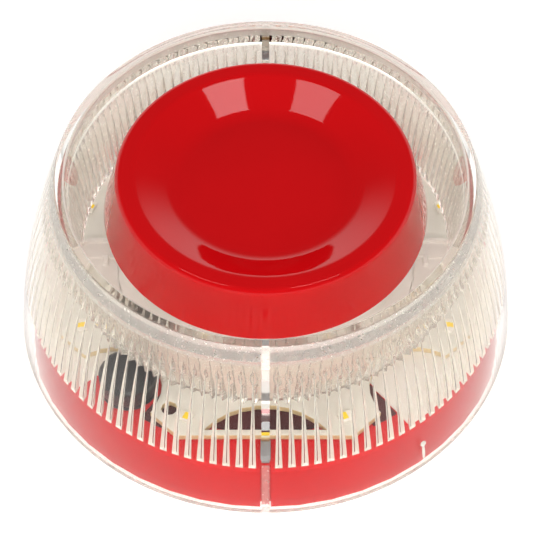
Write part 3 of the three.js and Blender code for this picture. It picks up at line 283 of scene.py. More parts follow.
# Painted shade: a dull dark brown red for thin sheets laid on the deck where the openings of the light
# board lie in shade. Its grain is drawn as 0.4 mm tufts.
PAINTED_SHADE = moulded_plastic("maroon_painted_shade", "#5A1A1E", "#3E1013", 0.9, 0.4, 0.05)
# Moulded grey ABS: a plain mid grey, a little soft in its shine.
GREY = moulded_plastic("grey_abs", "#9B9EA3", "#8A8D92", 0.4, 0.5, 0.01)
# Phosphor cast in silicone: a saturated lemon yellow, grainy and dull.
PHOSPHOR = moulded_plastic("led_phosphor", "#FFE730", "#FFDC1E", 0.45, 0.3, 0.01)
# Moulded white reflector plastic: brighter and duller than the other white parts.
PACKAGE = moulded_plastic("led_package_white_ppa", "#F4F2EC", "#E9E6DD", 0.45, 0.3, 0.01)
# Moulded EPDM rubber: dark grey with almost no shine.
RUBBER = moulded_plastic("black_epdm", "#2C2C2E", "#222224", 0.75, 0.4, 0.02)
# Fired and lapped piezo ceramic: a matt bone white.
CERAMIC = moulded_plastic("piezo_ceramic", "#E2DDD0", "#D5CFC0", 0.5, 0.4, 0.01)
# Pressed and fired ferrite: charcoal grey, dull and slightly gritty.
FERRITE = moulded_plastic("ferrite", "#434246", "#343337", 0.55, 0.4, 0.02)
# Zinc plated steel: a bright blue-white metal with soft patches.
STEEL = metal("zinc_plated_steel", "#D4D6D9", "#B4B7BB", 0.28, 0.6)
# Rolled brass sheet: warm yellow metal, a little clouded.
BRASS = metal("rolled_brass", "#D8B465", "#BE9A4B", 0.26, 0.5)
# Enamelled copper wire: orange brown metal under a thin varnish.
COPPER = metal("enamelled_copper", "#C87038", "#A9562A", 0.3, 0.4)

# ---- Mesh helpers --------------------------------------------------------------------------------
SAME_POINT = 0.001
NEARLY_STRAIGHT = 0.02


def place_object(name, mesh, material, body, nodes, sharp=32.0):
    """A finished piece from a mesh in metres: it rides on a body and stands for CAD nodes."""
    mesh.materials.clear()
    for one in material if isinstance(material, list) else [material]:
        mesh.materials.append(one)
    mesh.shade_smooth()
    mesh.set_sharp_from_angle(angle=math.radians(sharp))
    made = bpy.data.objects.new(name, mesh)
    bpy.context.scene.collection.objects.link(made)
    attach(made, body)
    if nodes:
        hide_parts(*nodes)
    return made


def mesh_from(name, points, faces):
    """A closed mesh from points in millimetres, doubles merged and faces turned outward."""
    mesh = bpy.data.meshes.new(name)
    mesh.from_pydata([tuple(p) for p in np.asarray(points) * MM], [], faces)
    shape = bmesh.new()
    shape.from_mesh(mesh)
    bmesh.ops.remove_doubles(shape, verts=shape.verts, dist=SAME_POINT * MM)
    bmesh.ops.recalc_face_normals(shape, faces=shape.faces)
    shape.to_mesh(mesh)
    shape.free()
    return mesh


def turned(name, outline, segments=192):
    """A body of revolution about Z from a closed outline of (radius, height) in millimetres."""
    angles = np.linspace(0, 2 * math.pi, segments, endpoint=False)
    count = len(outline)
    points = [(r * math.cos(a), r * math.sin(a), z) for a in angles for r, z in outline]
    faces = []
    for i in range(segments):
        j = (i + 1) % segments
        for k in range(count):
            n = (k + 1) % count
            if outline[k][0] == 0 and outline[n][0] == 0:
                continue
            faces.append((i * count + k, j * count + k, j * count + n, i * count + n))
    return mesh_from(name, points, faces)


def rounded(corners, steps=5):
    """An outline whose corners are (radius, height, rounding): each rounding becomes an arc."""
    out = []
    count = len(corners)
    for k in range(count):
        r, z, f = corners[k]
        here = Vector((r, z))
        if f <= 0:
            out.append((r, z))
            continue
        before = (Vector(corners[k - 1][:2]) - here).normalized()
        after = (Vector(corners[(k + 1) % count][:2]) - here).normalized()
        half = before.angle(after) / 2
        if half > math.pi / 2 - NEARLY_STRAIGHT:
            out.append((r, z))
            continue
        reach = f / math.tan(half)
        centre = here + (before + after).normalized() * (f / math.sin(half))
        start, stop = here + before * reach - centre, here + after * reach - centre
        turn = start.angle_signed(stop)
        for i in range(steps + 1):
            a = -turn * i / steps
            c, s = math.cos(a), math.sin(a)
            out.append((centre.x + start.x * c - start.y * s, centre.y + start.x * s + start.y * c))
    return out


def path(radius_at, start, stop, steps):
    """Points up or down a wall whose radius depends on the height."""
    return [(radius_at(z), z) for z in np.linspace(start, stop, steps + 1)]


# ---- Clear lens ----------------------------------------------------------------------------------
# The finishes of the lens, by their place among its materials.
POLISHED, HAZE, SLOPE_AND_RIM_HIGHLIGHT, PAINTED_SHADE_LINE = range(4)


def lens_out(z):
    t = (z - LENS_LOW) / (LENS_TOP - LENS_LOW)
    return LENS_FOOT_R + (LENS_RIM_R - LENS_FOOT_R) * t + 4 * LENS_BULGE * t * (1 - t)


def lens_in(z):
    return lens_out(z) - LENS_WALL


def funnel_in(z):
    return LENS_RIM_R - RIM_WIDTH - FUNNEL_LEAN * (LENS_TOP - z) / (LENS_TOP - FUNNEL_LOW)


def funnel_out(z):
    return funnel_in(z) + FUNNEL_WALL


def rib_share(z, low, tip):
    """How much of its full size a rib has at a height: all at its foot, none at its tip."""
    return min(max((tip - z) / (tip - low), 0.0), 1.0)


def lens_section():
    """The wall's section as (radius, height, rib depth, rib half width): outer face up, over the rim,
    down and up the funnel, and down the ribbed inner face."""
    out = [(LENS_FOOT_R, LENS_LOW + FOOT_CHAMFER)]
    out += path(lens_out, LENS_LOW + 1.0, LENS_TOP - RIM_ROUND, WALL_ROWS)
    out += rounded([
        (lens_out(LENS_TOP - 1), LENS_TOP - 1, 0), (LENS_RIM_R, LENS_TOP, RIM_ROUND),
        (funnel_in(LENS_TOP), LENS_TOP, RIM_ROUND), (funnel_in(LENS_TOP - 1), LENS_TOP - 1, 0),
    ])[1:-1]
    out += path(funnel_in, LENS_TOP - 1.0, FUNNEL_LOW, FUNNEL_ROWS)
    plain = [(r, z, 0.0, RIB_HALF) for r, z in out]
    teeth = []
    for z in np.linspace(FUNNEL_LOW, CAVITY_TOP - CAVITY_CORNER, TOOTH_ROWS):
        share = rib_share(z, FUNNEL_LOW, TOOTH_TIP)
        teeth.append((funnel_out(z), z, TOOTH_DEEP * share, max(RIB_HALF * share, RIB_END_HALF)))
    teeth += [(funnel_out(CAVITY_TOP) + FUNNEL_CORNER, CAVITY_TOP, 0.0, RIB_HALF)]
    ribs = [(lens_in(CAVITY_TOP) - CAVITY_CORNER, CAVITY_TOP, 0.0, RIB_HALF),
            (lens_in(CAVITY_TOP - CAVITY_CORNER), CAVITY_TOP - CAVITY_CORNER, 0.0, RIB_HALF)]
    for z in np.linspace(RIB_TIP + 0.2, RIB_LOW, RIB_ROWS):
        share = rib_share(z, RIB_LOW, RIB_TIP)
        ribs.append((lens_in(z), z, -RIB_DEEP * share, max(RIB_HALF * share, RIB_END_HALF)))
    below = RIB_LOW - RIB_FOOT_STEP
    ribs.append((lens_in(below), below, 0.0, RIB_HALF))
    ribs += [(lens_in(z), z, 0.0, RIB_HALF) for z in np.linspace(RIB_LOW - 1, LENS_LOW, SKIRT_ROWS)]
    ribs.append((LENS_FOOT_R - FOOT_CHAMFER, LENS_LOW, 0.0, RIB_HALF))
    return plain + teeth + ribs


def strip(lines):
    """Faces between neighbouring lines of points, round a closed section."""
    points = [p for line in lines for p in line]
    count = len(lines[0])
    faces = []
    for i in range(len(lines) - 1):
        for k in range(count):
            n = (k + 1) % count
            faces.append((i * count + k, i * count + n, (i + 1) * count + n, (i + 1) * count + k))
    return points, faces


def polar(radius, degrees, z):
    angle = math.radians(degrees)
    return (radius * math.cos(angle), radius * math.sin(angle), z)


def rib_sector():
    """One pitch of the lens: the two walls with one rib on each, open at its two sides."""
    half_pitch = 180 / RIB_COUNT
    lines = []
    for side in (-1, 1):
        edge, foot, crest = [], [], []
        for r, z, deep, half in lens_section():
            edge.append(polar(r, side * half_pitch, z))
            foot.append(polar(r, side * math.degrees(half / r), z))
            share = min(abs(deep) / RIB_DEEP, 1.0)
            narrow = RIB_CREST * (CREST_LEAST + (1 - CREST_LEAST) * share)
            crest.append(polar(r + deep, side * math.degrees(narrow / r), z))
        lines += [edge, foot, crest] if side < 0 else [crest, foot, edge]
    points, faces = strip(lines)
    return raw_object("rib_sector", points, faces)


def web_section(status_r):
    """The section through the web at a seam: the plain one, with the cavity filled."""
    section = [(r, z) for r, z, _, _ in lens_section()]
    kept = section[: section_split(section)]
    inner = funnel_out(FUNNEL_LOW)
    tip, top = TONGUE_TIP / 2, TONGUE_TOP / 2
    out = kept + [(inner, FUNNEL_LOW)]
    out += [(status_r - top, FUNNEL_LOW), (status_r - tip, TONGUE_LOW)]
    out += [(status_r + tip, TONGUE_LOW), (status_r + top, FUNNEL_LOW)]
    out += [(lens_in(z) - WEB_DEPTH, z) for z in np.linspace(FUNNEL_LOW, LENS_LOW, WEB_ROWS)]
    return out + [section[-1]], section


def section_split(section):
    """How many points come before the foot of the funnel's outer face."""
    return next(i for i, (r, z) in enumerate(section)
                if abs(z - FUNNEL_LOW) < 1e-6 and abs(r - funnel_out(FUNNEL_LOW)) < 1e-6)


def at_width(radius, width, z):
    """A point at a radius, that far to the side of the X axis."""
    return (math.sqrt(radius * radius - width * width), width, z)


def seam_sector():
    """The pitch at a seam: the walls, the web between them, and the light guide tongue."""
    half_pitch = 180 / RIB_COUNT
    status_r = BOARD_REACH - TONGUE_INSET
    web, section = web_section(status_r)
    points, faces = [], []
    for side in (-1, 1):
        edge = [polar(r, side * half_pitch, z) for r, z in section]
        near = [at_width(r, side * WEB_HALF, z) for r, z in section]
        more, more_faces = strip([edge, near] if side < 0 else [near, edge])
        faces += [tuple(i + len(points) for i in f) for f in more_faces]
        points += more
    more, more_faces = strip([[at_width(r, side * WEB_HALF, z) for r, z in web] for side in (-1, 1)])
    faces += [tuple(i + len(points) for i in f) for f in more_faces]
    points += more
    split = section_split(section)
    loop = section[split:-1] + web[-2:split:-1]
    for side in (-1, 1):
        faces.append(tuple(range(len(points), len(points) + len(loop))))
        points += [at_width(r, side * WEB_HALF, z) for r, z in loop]
    return raw_object("seam_sector", points, faces)


def raw_object(name, points, faces):
    """A part to be repeated, open at its sides; it isn't linked to the scene."""
    mesh = bpy.data.meshes.new(name)
    mesh.from_pydata([tuple(p) for p in np.asarray(points) * MM], [], faces)
    shape = bmesh.new()
    shape.from_mesh(mesh)
    bmesh.ops.triangulate(shape, faces=[f for f in shape.faces if len(f.verts) > 4])
    shape.to_mesh(mesh)
    shape.free()
    made = bpy.data.objects.new(name, mesh)
    bpy.context.scene.collection.objects.link(made)
    return made


def ring_tree():
    """Repeats a piece round the axis, with another piece at every so many places."""
    tree = bpy.data.node_groups.new("ring", "GeometryNodeTree")
    tree.interface.new_socket("Geometry", in_out="OUTPUT", socket_type="NodeSocketGeometry")
    for name, kind in (
        ("Piece", "Object"), ("Other Piece", "Object"), ("Count", "Int"), ("Other Every", "Int"),
        ("Start", "Float"), ("Weld", "Float"), ("Finish", "Material"),
    ):
        tree.interface.new_socket(name, in_out="INPUT", socket_type="NodeSocket" + kind)
    given = add_node(tree, "NodeGroupInput").outputs
    spots = add_node(tree, "GeometryNodeMeshLine", {"Count": given["Count"], "Offset": (0, 0, 0)})
    number = add_node(tree, "GeometryNodeInputIndex").outputs[0]
    step = add_node(tree, "ShaderNodeMath", {0: math.tau, 1: given["Count"]}, operation="DIVIDE")
    turn = add_node(tree, "ShaderNodeMath", {0: number, 1: step.outputs[0], 2: given["Start"]},
                    operation="MULTIPLY_ADD")
    place = add_node(tree, "ShaderNodeCombineXYZ", {"Z": turn.outputs[0]}).outputs[0]
    left = add_node(tree, "ShaderNodeMath", {0: number, 1: given["Other Every"]}, operation="MODULO")
    plain = add_node(tree, "ShaderNodeMath", {0: left.outputs[0], 1: 0.5}, operation="GREATER_THAN")
    other = add_node(tree, "ShaderNodeMath", {0: left.outputs[0], 1: 0.5}, operation="LESS_THAN")
    joined = add_node(tree, "GeometryNodeJoinGeometry")
    for name, chosen in (("Piece", plain), ("Other Piece", other)):
        shape = add_node(tree, "GeometryNodeObjectInfo", {"Object": given[name]})
        copies = add_node(tree, "GeometryNodeInstanceOnPoints", {
            "Points": spots.outputs[0], "Selection": chosen.outputs[0],
            "Instance": shape.outputs["Geometry"], "Rotation": place,
        })
        tree.links.new(copies.outputs[0], joined.inputs[0])
    real = add_node(tree, "GeometryNodeRealizeInstances", {"Geometry": joined.outputs[0]})
    welded = add_node(tree, "GeometryNodeMergeByDistance", {
        "Geometry": real.outputs[0], "Distance": given["Weld"],
    })
    done = add_node(tree, "GeometryNodeSetMaterial", {
        "Geometry": welded.outputs[0], "Material": given["Finish"],
    })
    add_node(tree, "NodeGroupOutput", {0: done.outputs[0]})
    return tree


RING = ring_tree()


def grow(tree, values, name):
    """The mesh that a tree makes from these named inputs."""
    host = bpy.data.objects.new(name + "_host", bpy.data.meshes.new(name + "_host"))
    bpy.context.scene.collection.objects.link(host)
    modifier = host.modifiers.new("tree", "NODES")
    modifier.node_group = tree
    for item in tree.interface.items_tree:
        if item.in_out == "INPUT" and item.name in values:
            modifier[item.identifier] = values[item.name]
    bpy.context.view_layer.update()
    evaluated = host.evaluated_get(bpy.context.evaluated_depsgraph_get())
    mesh = bpy.data.meshes.new_from_object(evaluated)
    host.modifiers.clear()
    bpy.data.objects.remove(host)
    return mesh


def turned_outward(mesh):
    """The same mesh with its faces pointing out of it."""
    shape = bmesh.new()
    shape.from_mesh(mesh)
    bmesh.ops.recalc_face_normals(shape, faces=shape.faces)
    shape.to_mesh(mesh)
    shape.free()
    return mesh


def drop(*objects):
    """Takes away the parts that were only there to be repeated."""
    for one in objects:
        bpy.data.objects.remove(one)


def lens_finish(radius, z):
    """Which finish a face of the lens has, from its middle's radius and height."""
    near, skin, foot_band, painted_rim_highlight_width, tooth_root, slope_share = 0.1, 0.02, 0.4, 0.6, 0.3, 0.85
    if z < LENS_LOW + foot_band or abs(z - CAVITY_TOP) < near:
        return HAZE
    if z > CAVITY_TOP:
        # The rim's inner edge takes the pale slope finish as a painted highlight.
        if z > LENS_TOP - RIM_ROUND and radius < funnel_in(LENS_TOP) + painted_rim_highlight_width:
            return SLOPE_AND_RIM_HIGHLIGHT
        return HAZE if radius > LENS_RIM_R + skin else POLISHED
    if z > FUNNEL_LOW - near and radius < (funnel_out(z) + lens_in(z)) / 2:
        return HAZE if radius > funnel_out(z) - tooth_root else POLISHED
    deep = (lens_in(z) - radius) / RIB_DEEP
    share = rib_share(z, RIB_LOW, RIB_TIP)
    if z < RIB_LOW - near:
        return HAZE if skin < deep < 2 else POLISHED
    if deep < skin or deep > share + near / 2:
        return POLISHED
    # Faces near a rib's crest take the dark crest finish: a painted shade line.
    return SLOPE_AND_RIM_HIGHLIGHT if deep < slope_share * share else PAINTED_SHADE_LINE


def clear_lens():
    """The whole lens: ribs all round, a seam at the front and one at the back."""
    rib, seam = rib_sector(), seam_sector()
    mesh = turned_outward(grow(RING, {
        "Piece": rib, "Other Piece": seam, "Count": RIB_COUNT, "Other Every": RIB_COUNT // len(SEAMS),
        "Start": math.radians(SEAMS[0]), "Weld": 3 * SAME_POINT * MM, "Finish": CLEAR,
    }, "lens"))
    drop(rib, seam)
    made = place_object("lens", mesh, [CLEAR, FROSTED, PRISM, PAINTED_CREST_SHADE], "head",
                        ["clear_lens"])
    for face in mesh.polygons:
        x, y, z = face.center / MM
        face.material_index = lens_finish(math.hypot(x, y), z)
    return made


clear_lens()

# ---- Cap -----------------------------------------------------------------------------------------
CAP_TOP = box_mm("sound_cap")[1][2]
CAP_FOOT_R, CAP_TOP_R, CAP_HEIGHT, CAP_WALL = 35.3, 32.3, 12.4, 2.0
CAP_LOW = CAP_TOP - CAP_HEIGHT
LIP_R, DISH_R, DISH_DEPTH, DISH_SLOPE = 1.6, 28.3, 4.6, math.radians(28)
DISH_EDGE_ROUND, DISH_FLOOR_ROUND = 3.0, 8.0
FOOT_ROUND_IN, FOOT_ROUND_OUT = 0.3, 0.4


def arc(centre, radius, start, stop, steps):
    """Points of an arc in radius and height; its angles are in degrees."""
    angles = np.radians(np.linspace(start, stop, steps + 1))
    return [(centre[0] + radius * math.cos(a), centre[1] + radius * math.sin(a)) for a in angles]


def dish(drop):
    """The dish from its edge to its level floor."""
    top, half, tilt = CAP_TOP - drop, math.tan(DISH_SLOPE / 2), math.degrees(DISH_SLOPE)
    floor_r = DISH_R - DISH_DEPTH / math.tan(DISH_SLOPE)
    edge = (DISH_R + DISH_EDGE_ROUND * half, top - DISH_EDGE_ROUND)
    hollow = (floor_r - DISH_FLOOR_ROUND * half, top - DISH_DEPTH + DISH_FLOOR_ROUND)
    wall = arc(edge, DISH_EDGE_ROUND, 90, 90 + tilt, 8)
    low = arc(hollow, DISH_FLOOR_ROUND, tilt - 90, -90, 10)
    slope = [tuple(Vector(wall[-1]).lerp(Vector(low[0]), t)) for t in (0.25, 0.5, 0.75)]
    level = [(r, top - DISH_DEPTH) for r in np.linspace(hollow[0], 0, 9)[1:]]
    return wall + slope + low + level


def cap():
    """The dished cap: rounded top edge, leaning side, open underneath."""
    lip = arc((CAP_TOP_R - LIP_R, CAP_TOP - LIP_R), LIP_R, 0, 90, 9)
    foot = rounded([
        (CAP_TOP_R - CAP_WALL, CAP_TOP - LIP_R - CAP_WALL, 0),
        (CAP_FOOT_R - CAP_WALL, CAP_LOW, FOOT_ROUND_IN),
        (CAP_FOOT_R, CAP_LOW, FOOT_ROUND_OUT), (CAP_TOP_R, CAP_TOP - LIP_R, 0),
    ], 3)
    outline = foot[:-1] + lip + dish(0) + dish(CAP_WALL)[::-1]
    mesh = turned("cap", outline, 256)
    return place_object("cap", mesh, RED_GLOSS, "head", ["sound_cap"])


cap()

# ---- Key mark on the skirt -----------------------------------------------------------------------
MARK_DEG, MARK_PROUD = -52.0, 0.48
MARK_HEAD_Z, MARK_HEAD_R = 8.6, 0.72
MARK_STEM_Z, MARK_STEM_REACH, MARK_STEM_HALF = 6.0, 2.7, 0.32


def key_mark():
    """A thin stem under a round head, proud of the skirt."""
    turn = math.radians(MARK_DEG)
    shape = bmesh.new()
    for z, high, across in (
        (MARK_HEAD_Z, MARK_HEAD_R, MARK_HEAD_R), (MARK_STEM_Z, MARK_STEM_REACH, MARK_STEM_HALF),
    ):
        made = bmesh.ops.create_uvsphere(shape, u_segments=24, v_segments=16, radius=1.0)["verts"]
        for vert in made:
            deep = vert.co.x * MARK_PROUD
            r = lens_out(z + vert.co.z * high) + deep
            side = vert.co.y * across
            vert.co = ((r * math.cos(turn) - side * math.sin(turn)) * MM,
                       (r * math.sin(turn) + side * math.cos(turn)) * MM, (z + vert.co.z * high) * MM)
    mesh = bpy.data.meshes.new("key_mark")
    shape.to_mesh(mesh)
    shape.free()
    return place_object("key_mark", mesh, PRISM, "head", [])


key_mark()

# ---- Pieces that keep the frame's own shape, with softened edges ---------------------------------
FINISHES = {
    "base_plate": WHITE, "base_gasket": RUBBER, "terminal_block": BLACK, "terminal_plate": BRASS,
    "terminal_screw": STEEL, "head_contact": STEEL, "rear_cover": WHITE, "main_board": GREEN,
    "coil_core": FERRITE, "coil_winding": COPPER, "board_link": BLACK, "tone_switch": RED_SATIN,
    "tone_lever": WHITE, "volume_body": BLACK, "volume_rotor": WHITE, "cover_screw": STEEL,
    "tower_screw": STEEL, "cap_screw": STEEL, "light_board": BOARD, "led": PACKAGE,
    "status_led": PHOSPHOR, "storage_capacitor": BLACK, "board_retainer": WHITE, "lens_catch": GREY,
    "sounder_tower": WHITE, "piezo_seal": RUBBER, "piezo_ceramic": CERAMIC, "piezo_disc": BRASS,
    "piezo_pin": STEEL, "throat_plate": WHITE, "red_body": RED_SATIN,
}
SOFT_EDGES = {
    "red_body": 0.25, "base_plate": 0.25, "rear_cover": 0.2, "terminal_block": 0.2, "tone_switch": 0.15,
    "volume_body": 0.15, "volume_rotor": 0.12, "sounder_tower": 0.25, "throat_plate": 0.2,
    "light_board": 0.08, "board_retainer_right": 0.18, "board_retainer_left": 0.18,
    "lens_catch_front": 0.15, "lens_catch_back": 0.15, "main_board": 0.08, "base_gasket": 0.2,
    "storage_capacitor": 0.2,
}
LOOSE_POINT, FLAT_DEG = 0.0005, 0.6


def body_with(node):
    """The moving body that a node is on."""
    return next(name for name, nodes in frame["record"]["behaviour"]["bodies"].items() if node in nodes)


def finish_of(node):
    """The finish listed under the longest name that the node's own name starts with."""
    return FINISHES[max((key for key in FINISHES if node.startswith(key)), key=len)]


def softened(node, edge, sharp=35.0):
    """The node's shape on merged faces, with its sharp edges rounded to that many millimetres."""
    shape = bmesh.new()
    shape.from_mesh(frame["nodes"][node].data)
    bmesh.ops.remove_doubles(shape, verts=shape.verts, dist=LOOSE_POINT * MM)
    bmesh.ops.dissolve_limit(shape, angle_limit=math.radians(FLAT_DEG), verts=shape.verts, edges=shape.edges)
    corners = [e for e in shape.edges
               if len(e.link_faces) == 2 and e.calc_face_angle(0) > math.radians(sharp)]
    bmesh.ops.bevel(shape, geom=corners, offset=edge * MM, offset_type="OFFSET", segments=2, profile=0.5,
                    affect="EDGES", clamp_overlap=True)
    mesh = bpy.data.meshes.new(node + "_soft")
    shape.to_mesh(mesh)
    shape.free()
    return place_object(node.replace("_", "-"), mesh, finish_of(node), body_with(node),
                        [node])


for soft_node, soft_edge in SOFT_EDGES.items():
    softened(soft_node, soft_edge)

# ---- Sheets on the deck --------------------------------------------------------------------------
FILM_LOW, FILM_HIGH = DECK_TOP + 0.03, DECK_TOP + 0.33
PAINTED_SHADE_HIGH = DECK_TOP + 0.45
FILM_INNER_R, FILM_GAP = 34.0, 1.5
ARCH_INNER_R, ARCH_OUTER_R = 30.2, BOARD_REACH - 1.8
CORNER_INNER_R, CORNER_OUTER_R = 36.0, 47.0
LIP_INNER_R, LIP_OUTER_R, LIP_LOW, LIP_HIGH = 33.22, 33.47, 15.3, 16.3


def flat_sheet(name, outline, low, high, finish):
    """A thin flat sheet from an outline of (x, y) in millimetres."""
    count = len(outline)
    points = [(x, y, z) for z in (low, high) for x, y in outline]
    faces = [tuple(range(count))[::-1], tuple(range(count, 2 * count))]
    faces += [(k, (k + 1) % count, (k + 1) % count + count, k + count) for k in range(count)]
    return place_object(name, mesh_from(name, points, faces), finish, "head", [])


def ring_part(inner, outer, start, stop, steps=48):
    """The outline of part of a ring between two angles in degrees."""
    angles = np.radians(np.linspace(start, stop, steps + 1))
    return ([(outer * math.cos(a), outer * math.sin(a)) for a in angles]
            + [(inner * math.cos(a), inner * math.sin(a)) for a in angles[::-1]])


def film(name, start, stop):
    """White reflector film between the board and the lens wall."""
    outline = ring_part(FILM_INNER_R, lens_in(FILM_HIGH) - FILM_GAP, start, stop)
    flat_sheet(name, outline, FILM_LOW, FILM_HIGH, WHITE)


def painted_shade_sheet(name, inner, outer, start, stop):
    """A dark sheet on the deck under an opening of the light board: painted shade, where the deck lies in
    shade.
    """
    flat_sheet(name, ring_part(inner, outer, start, stop), FILM_LOW, PAINTED_SHADE_HIGH, PAINTED_SHADE)


film("film_right", -53.5, 41.0)
film("film_left", 139.0, 218.0)
# Painted shade: dark sheets under the front and back openings of the light board, beside the can and on the
# right, where the deck lies in shade.
painted_shade_sheet("felt_front", ARCH_INNER_R, ARCH_OUTER_R, -113, -67)
painted_shade_sheet("felt_back", ARCH_INNER_R, ARCH_OUTER_R, 67, 113)
painted_shade_sheet("felt_by_can", CORNER_INNER_R, CORNER_OUTER_R, -124.0, -115.0)
painted_shade_sheet("felt_right", CORNER_INNER_R, CORNER_OUTER_R, -61.0, -54.0)


def flange_lip():
    """A narrow lip that closes the gap between the tower's flange and the light board."""
    outline = [(LIP_INNER_R, LIP_LOW), (LIP_OUTER_R, LIP_LOW), (LIP_OUTER_R, LIP_HIGH),
               (LIP_INNER_R, LIP_HIGH + 0.1)]
    place_object("flange_lip", turned("flange_lip", outline), WHITE, "head", [])


flange_lip()

# ---- Light sources -------------------------------------------------------------------------------
LED_LONG, LED_SHORT, LED_THICK, LED_CIRCLE_R, LED_COUNT = 3.0, 2.0, 0.9, BOARD_REACH - 1.1, 8
WELL_LONG, WELL_SHORT, WELL_DEPTH = 1.2, 1.75, 0.2
LED_CORNER, WELL_CORNER, LED_CHAMFER, LED_LIFT, LED_FIRST_DEG = 0.15, 0.14, 0.1, 0.03, 22.5


def led_well(z, long, short, corner, steps=3):
    """A rounded rectangle on the circle of lamps, as a loop of points at one height."""
    points = []
    for k, (sx, sy) in enumerate(((1, 1), (-1, 1), (-1, -1), (1, -1))):
        cx, cy = sx * (short / 2 - corner), sy * (long / 2 - corner)
        for i in range(steps + 1):
            a = math.pi / 2 * (k + i / steps)
            points.append((LED_CIRCLE_R + cx + corner * math.cos(a), cy + corner * math.sin(a), z))
    return points


def loops_to_object(name, loops):
    """Rings of points joined one to the next, with the first and last closed."""
    count = len(loops[0])
    points = [p for loop in loops for p in loop]
    faces = []
    for i in range(len(loops) - 1):
        for k in range(count):
            n = (k + 1) % count
            faces.append((i * count + k, i * count + n, (i + 1) * count + n, (i + 1) * count + k))
    faces.append(tuple(range(count))[::-1])
    faces.append(tuple(range(len(points) - count, len(points))))
    return raw_object(name, points, faces)


def leds():
    """The eight packages, each with a well in its top, and the phosphor in each well."""
    low = BOARD_TOP + LED_LIFT
    high = low + LED_THICK
    package = loops_to_object("led_package", [
        led_well(low, LED_LONG, LED_SHORT, LED_CORNER),
        led_well(high - LED_CHAMFER, LED_LONG, LED_SHORT, LED_CORNER),
        led_well(high, LED_LONG - 2 * LED_CHAMFER, LED_SHORT - 2 * LED_CHAMFER, LED_CORNER),
        led_well(high, WELL_LONG, WELL_SHORT, WELL_CORNER),
        led_well(high - WELL_DEPTH, WELL_LONG - 0.15, WELL_SHORT - 0.15, WELL_CORNER),
    ])
    glow = loops_to_object("led_phosphor", [
        led_well(high - WELL_DEPTH + 0.02, WELL_LONG - 0.2, WELL_SHORT - 0.2, WELL_CORNER),
        led_well(high - 0.06, WELL_LONG - 0.1, WELL_SHORT - 0.1, WELL_CORNER),
        led_well(high - 0.02, WELL_LONG - 0.4, WELL_SHORT - 0.4, 0.1),
    ])
    nodes = [f"led_{i + 1}" for i in range(LED_COUNT)]
    for name, raw, finish, replaced in (
        ("led_packages", package, PACKAGE, nodes), ("led_phosphors", glow, PHOSPHOR, []),
    ):
        mesh = turned_outward(grow(RING, {
            "Piece": raw, "Other Piece": raw, "Count": LED_COUNT, "Other Every": LED_COUNT,
            "Start": math.radians(LED_FIRST_DEG), "Weld": SAME_POINT * MM, "Finish": finish,
        }, name))
        drop(raw)
        place_object(name, mesh, finish, "head", replaced)


leds()

# ---- Finishes of the carried-over pieces ---------------------------------------------------------


def finish_nodes():
    """Every node that has one plain finish gets it, whether or not a softened piece stands for it."""
    for name, node in frame["nodes"].items():
        if any(name.startswith(key) for key in FINISHES):
            node.data.materials.clear()
            node.data.materials.append(finish_of(name))


finish_nodes()

# ---- Floor and light -----------------------------------------------------------------------------
FLOOR_HALF, FLOOR_Z = 4, -0.0002
LIGHTS_AIM = Vector((0, 0, 0.02))
SKY_LOW, SKY_HIGH, SKY_BRIGHT, SKY_DARK = 0.15, 0.5, 1.2, 0.16
BOUNCES, GLOSS_BOUNCES = 32, 16


def floor():
    """A pale matt floor that glows a little, so that it stays white round the object."""
    mesh = bpy.data.meshes.new("floor")
    corners = [(x * FLOOR_HALF, y * FLOOR_HALF, FLOOR_Z) for x, y in ((-1, -1), (1, -1), (1, 1), (-1, 1))]
    mesh.from_pydata(corners, [], [(0, 1, 2, 3)])
    made = bpy.data.objects.new("floor", mesh)
    bpy.context.scene.collection.objects.link(made)
    material, tree, _ = new_material("pale_floor")
    shader = add_node(tree, "ShaderNodeBsdfPrincipled", {
        "Base Color": linear("#F1F0EE"), "Roughness": 0.8,
        "Emission Color": linear("#FFFFFF"), "Emission Strength": 0.43,
    })
    add_node(tree, "ShaderNodeOutputMaterial", {"Surface": shader.outputs[0]})
    mesh.materials.append(material)


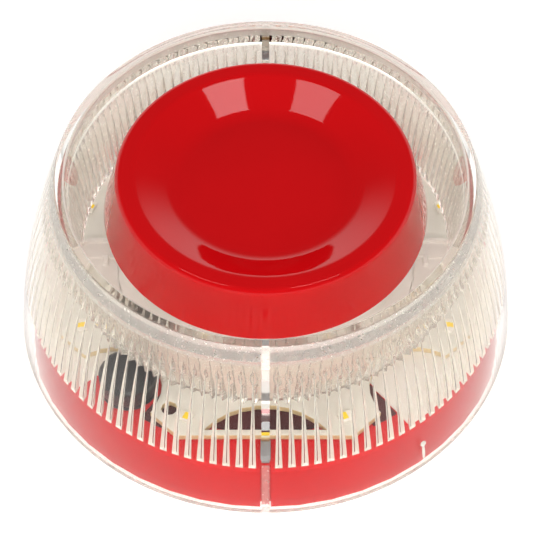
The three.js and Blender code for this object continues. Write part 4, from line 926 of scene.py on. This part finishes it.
def softbox(name, place, turn, width, depth, radiance):
    """A level softbox that shines straight down, turned about its own middle."""
    data = bpy.data.lights.new(name, "AREA")
    data.shape = "RECTANGLE"
    data.size, data.size_y = width, depth
    data.energy = radiance * math.pi * width * depth
    made = bpy.data.objects.new(name, data)
    made.location = place
    made.rotation_euler = (0.0, 0.0, math.radians(turn))
    bpy.context.scene.collection.objects.link(made)


def soft_light(name, place, size, power):
    """A broad soft light, flagged so that no gloss mirrors it."""
    data = bpy.data.lights.new(name, "AREA")
    data.shape = "DISK"
    data.size = size
    data.energy = power
    made = bpy.data.objects.new(name, data)
    made.location = place
    made.rotation_mode = "QUATERNION"
    made.rotation_quaternion = (LIGHTS_AIM - made.location).to_track_quat("-Z", "Y")
    made.visible_glossy = False
    bpy.context.scene.collection.objects.link(made)


def sky(tree):
    """A dark ceiling over bright surroundings, as in a light tent open at its top."""
    way = add_node(tree, "ShaderNodeTexCoord").outputs["Generated"]
    height = add_node(tree, "ShaderNodeSeparateXYZ", {"Vector": way}).outputs["Z"]
    level = add_node(tree, "ShaderNodeMapRange", {
        "Value": height, "From Min": SKY_LOW, "From Max": SKY_HIGH,
        "To Min": SKY_BRIGHT, "To Max": SKY_DARK,
    }, interpolation_type="SMOOTHSTEP").outputs["Result"]
    tree.links.new(level, tree.nodes["Background"].inputs["Strength"])


def studio():
    """Two small softboxes overhead, broad light from the front and the back, and the sky."""
    world = bpy.data.worlds.new("studio")
    world.use_nodes = True
    world.node_tree.nodes["Background"].inputs["Color"].default_value = linear("#FFFEFC")
    sky(world.node_tree)
    bpy.context.scene.world = world
    softbox("softbox_right", (0.253, -0.115, 0.9), 23, 0.26, 0.1, 5.6)
    softbox("softbox_left", (-0.315, -0.082, 0.9), -29, 0.29, 0.1, 4.4)
    soft_light("front_light", (0.0, -1.2, 1.14), 0.9, 14.5)
    soft_light("back_light", (0.0, 1.35, 0.3), 1.0, 8.0)
    scene = bpy.context.scene
    scene.view_settings.view_transform = "Standard"
    scene.view_settings.look = "None"
    scene.cycles.max_bounces = BOUNCES
    scene.cycles.transmission_bounces = BOUNCES
    scene.cycles.transparent_max_bounces = BOUNCES
    scene.cycles.glossy_bounces = GLOSS_BOUNCES


floor()
studio()
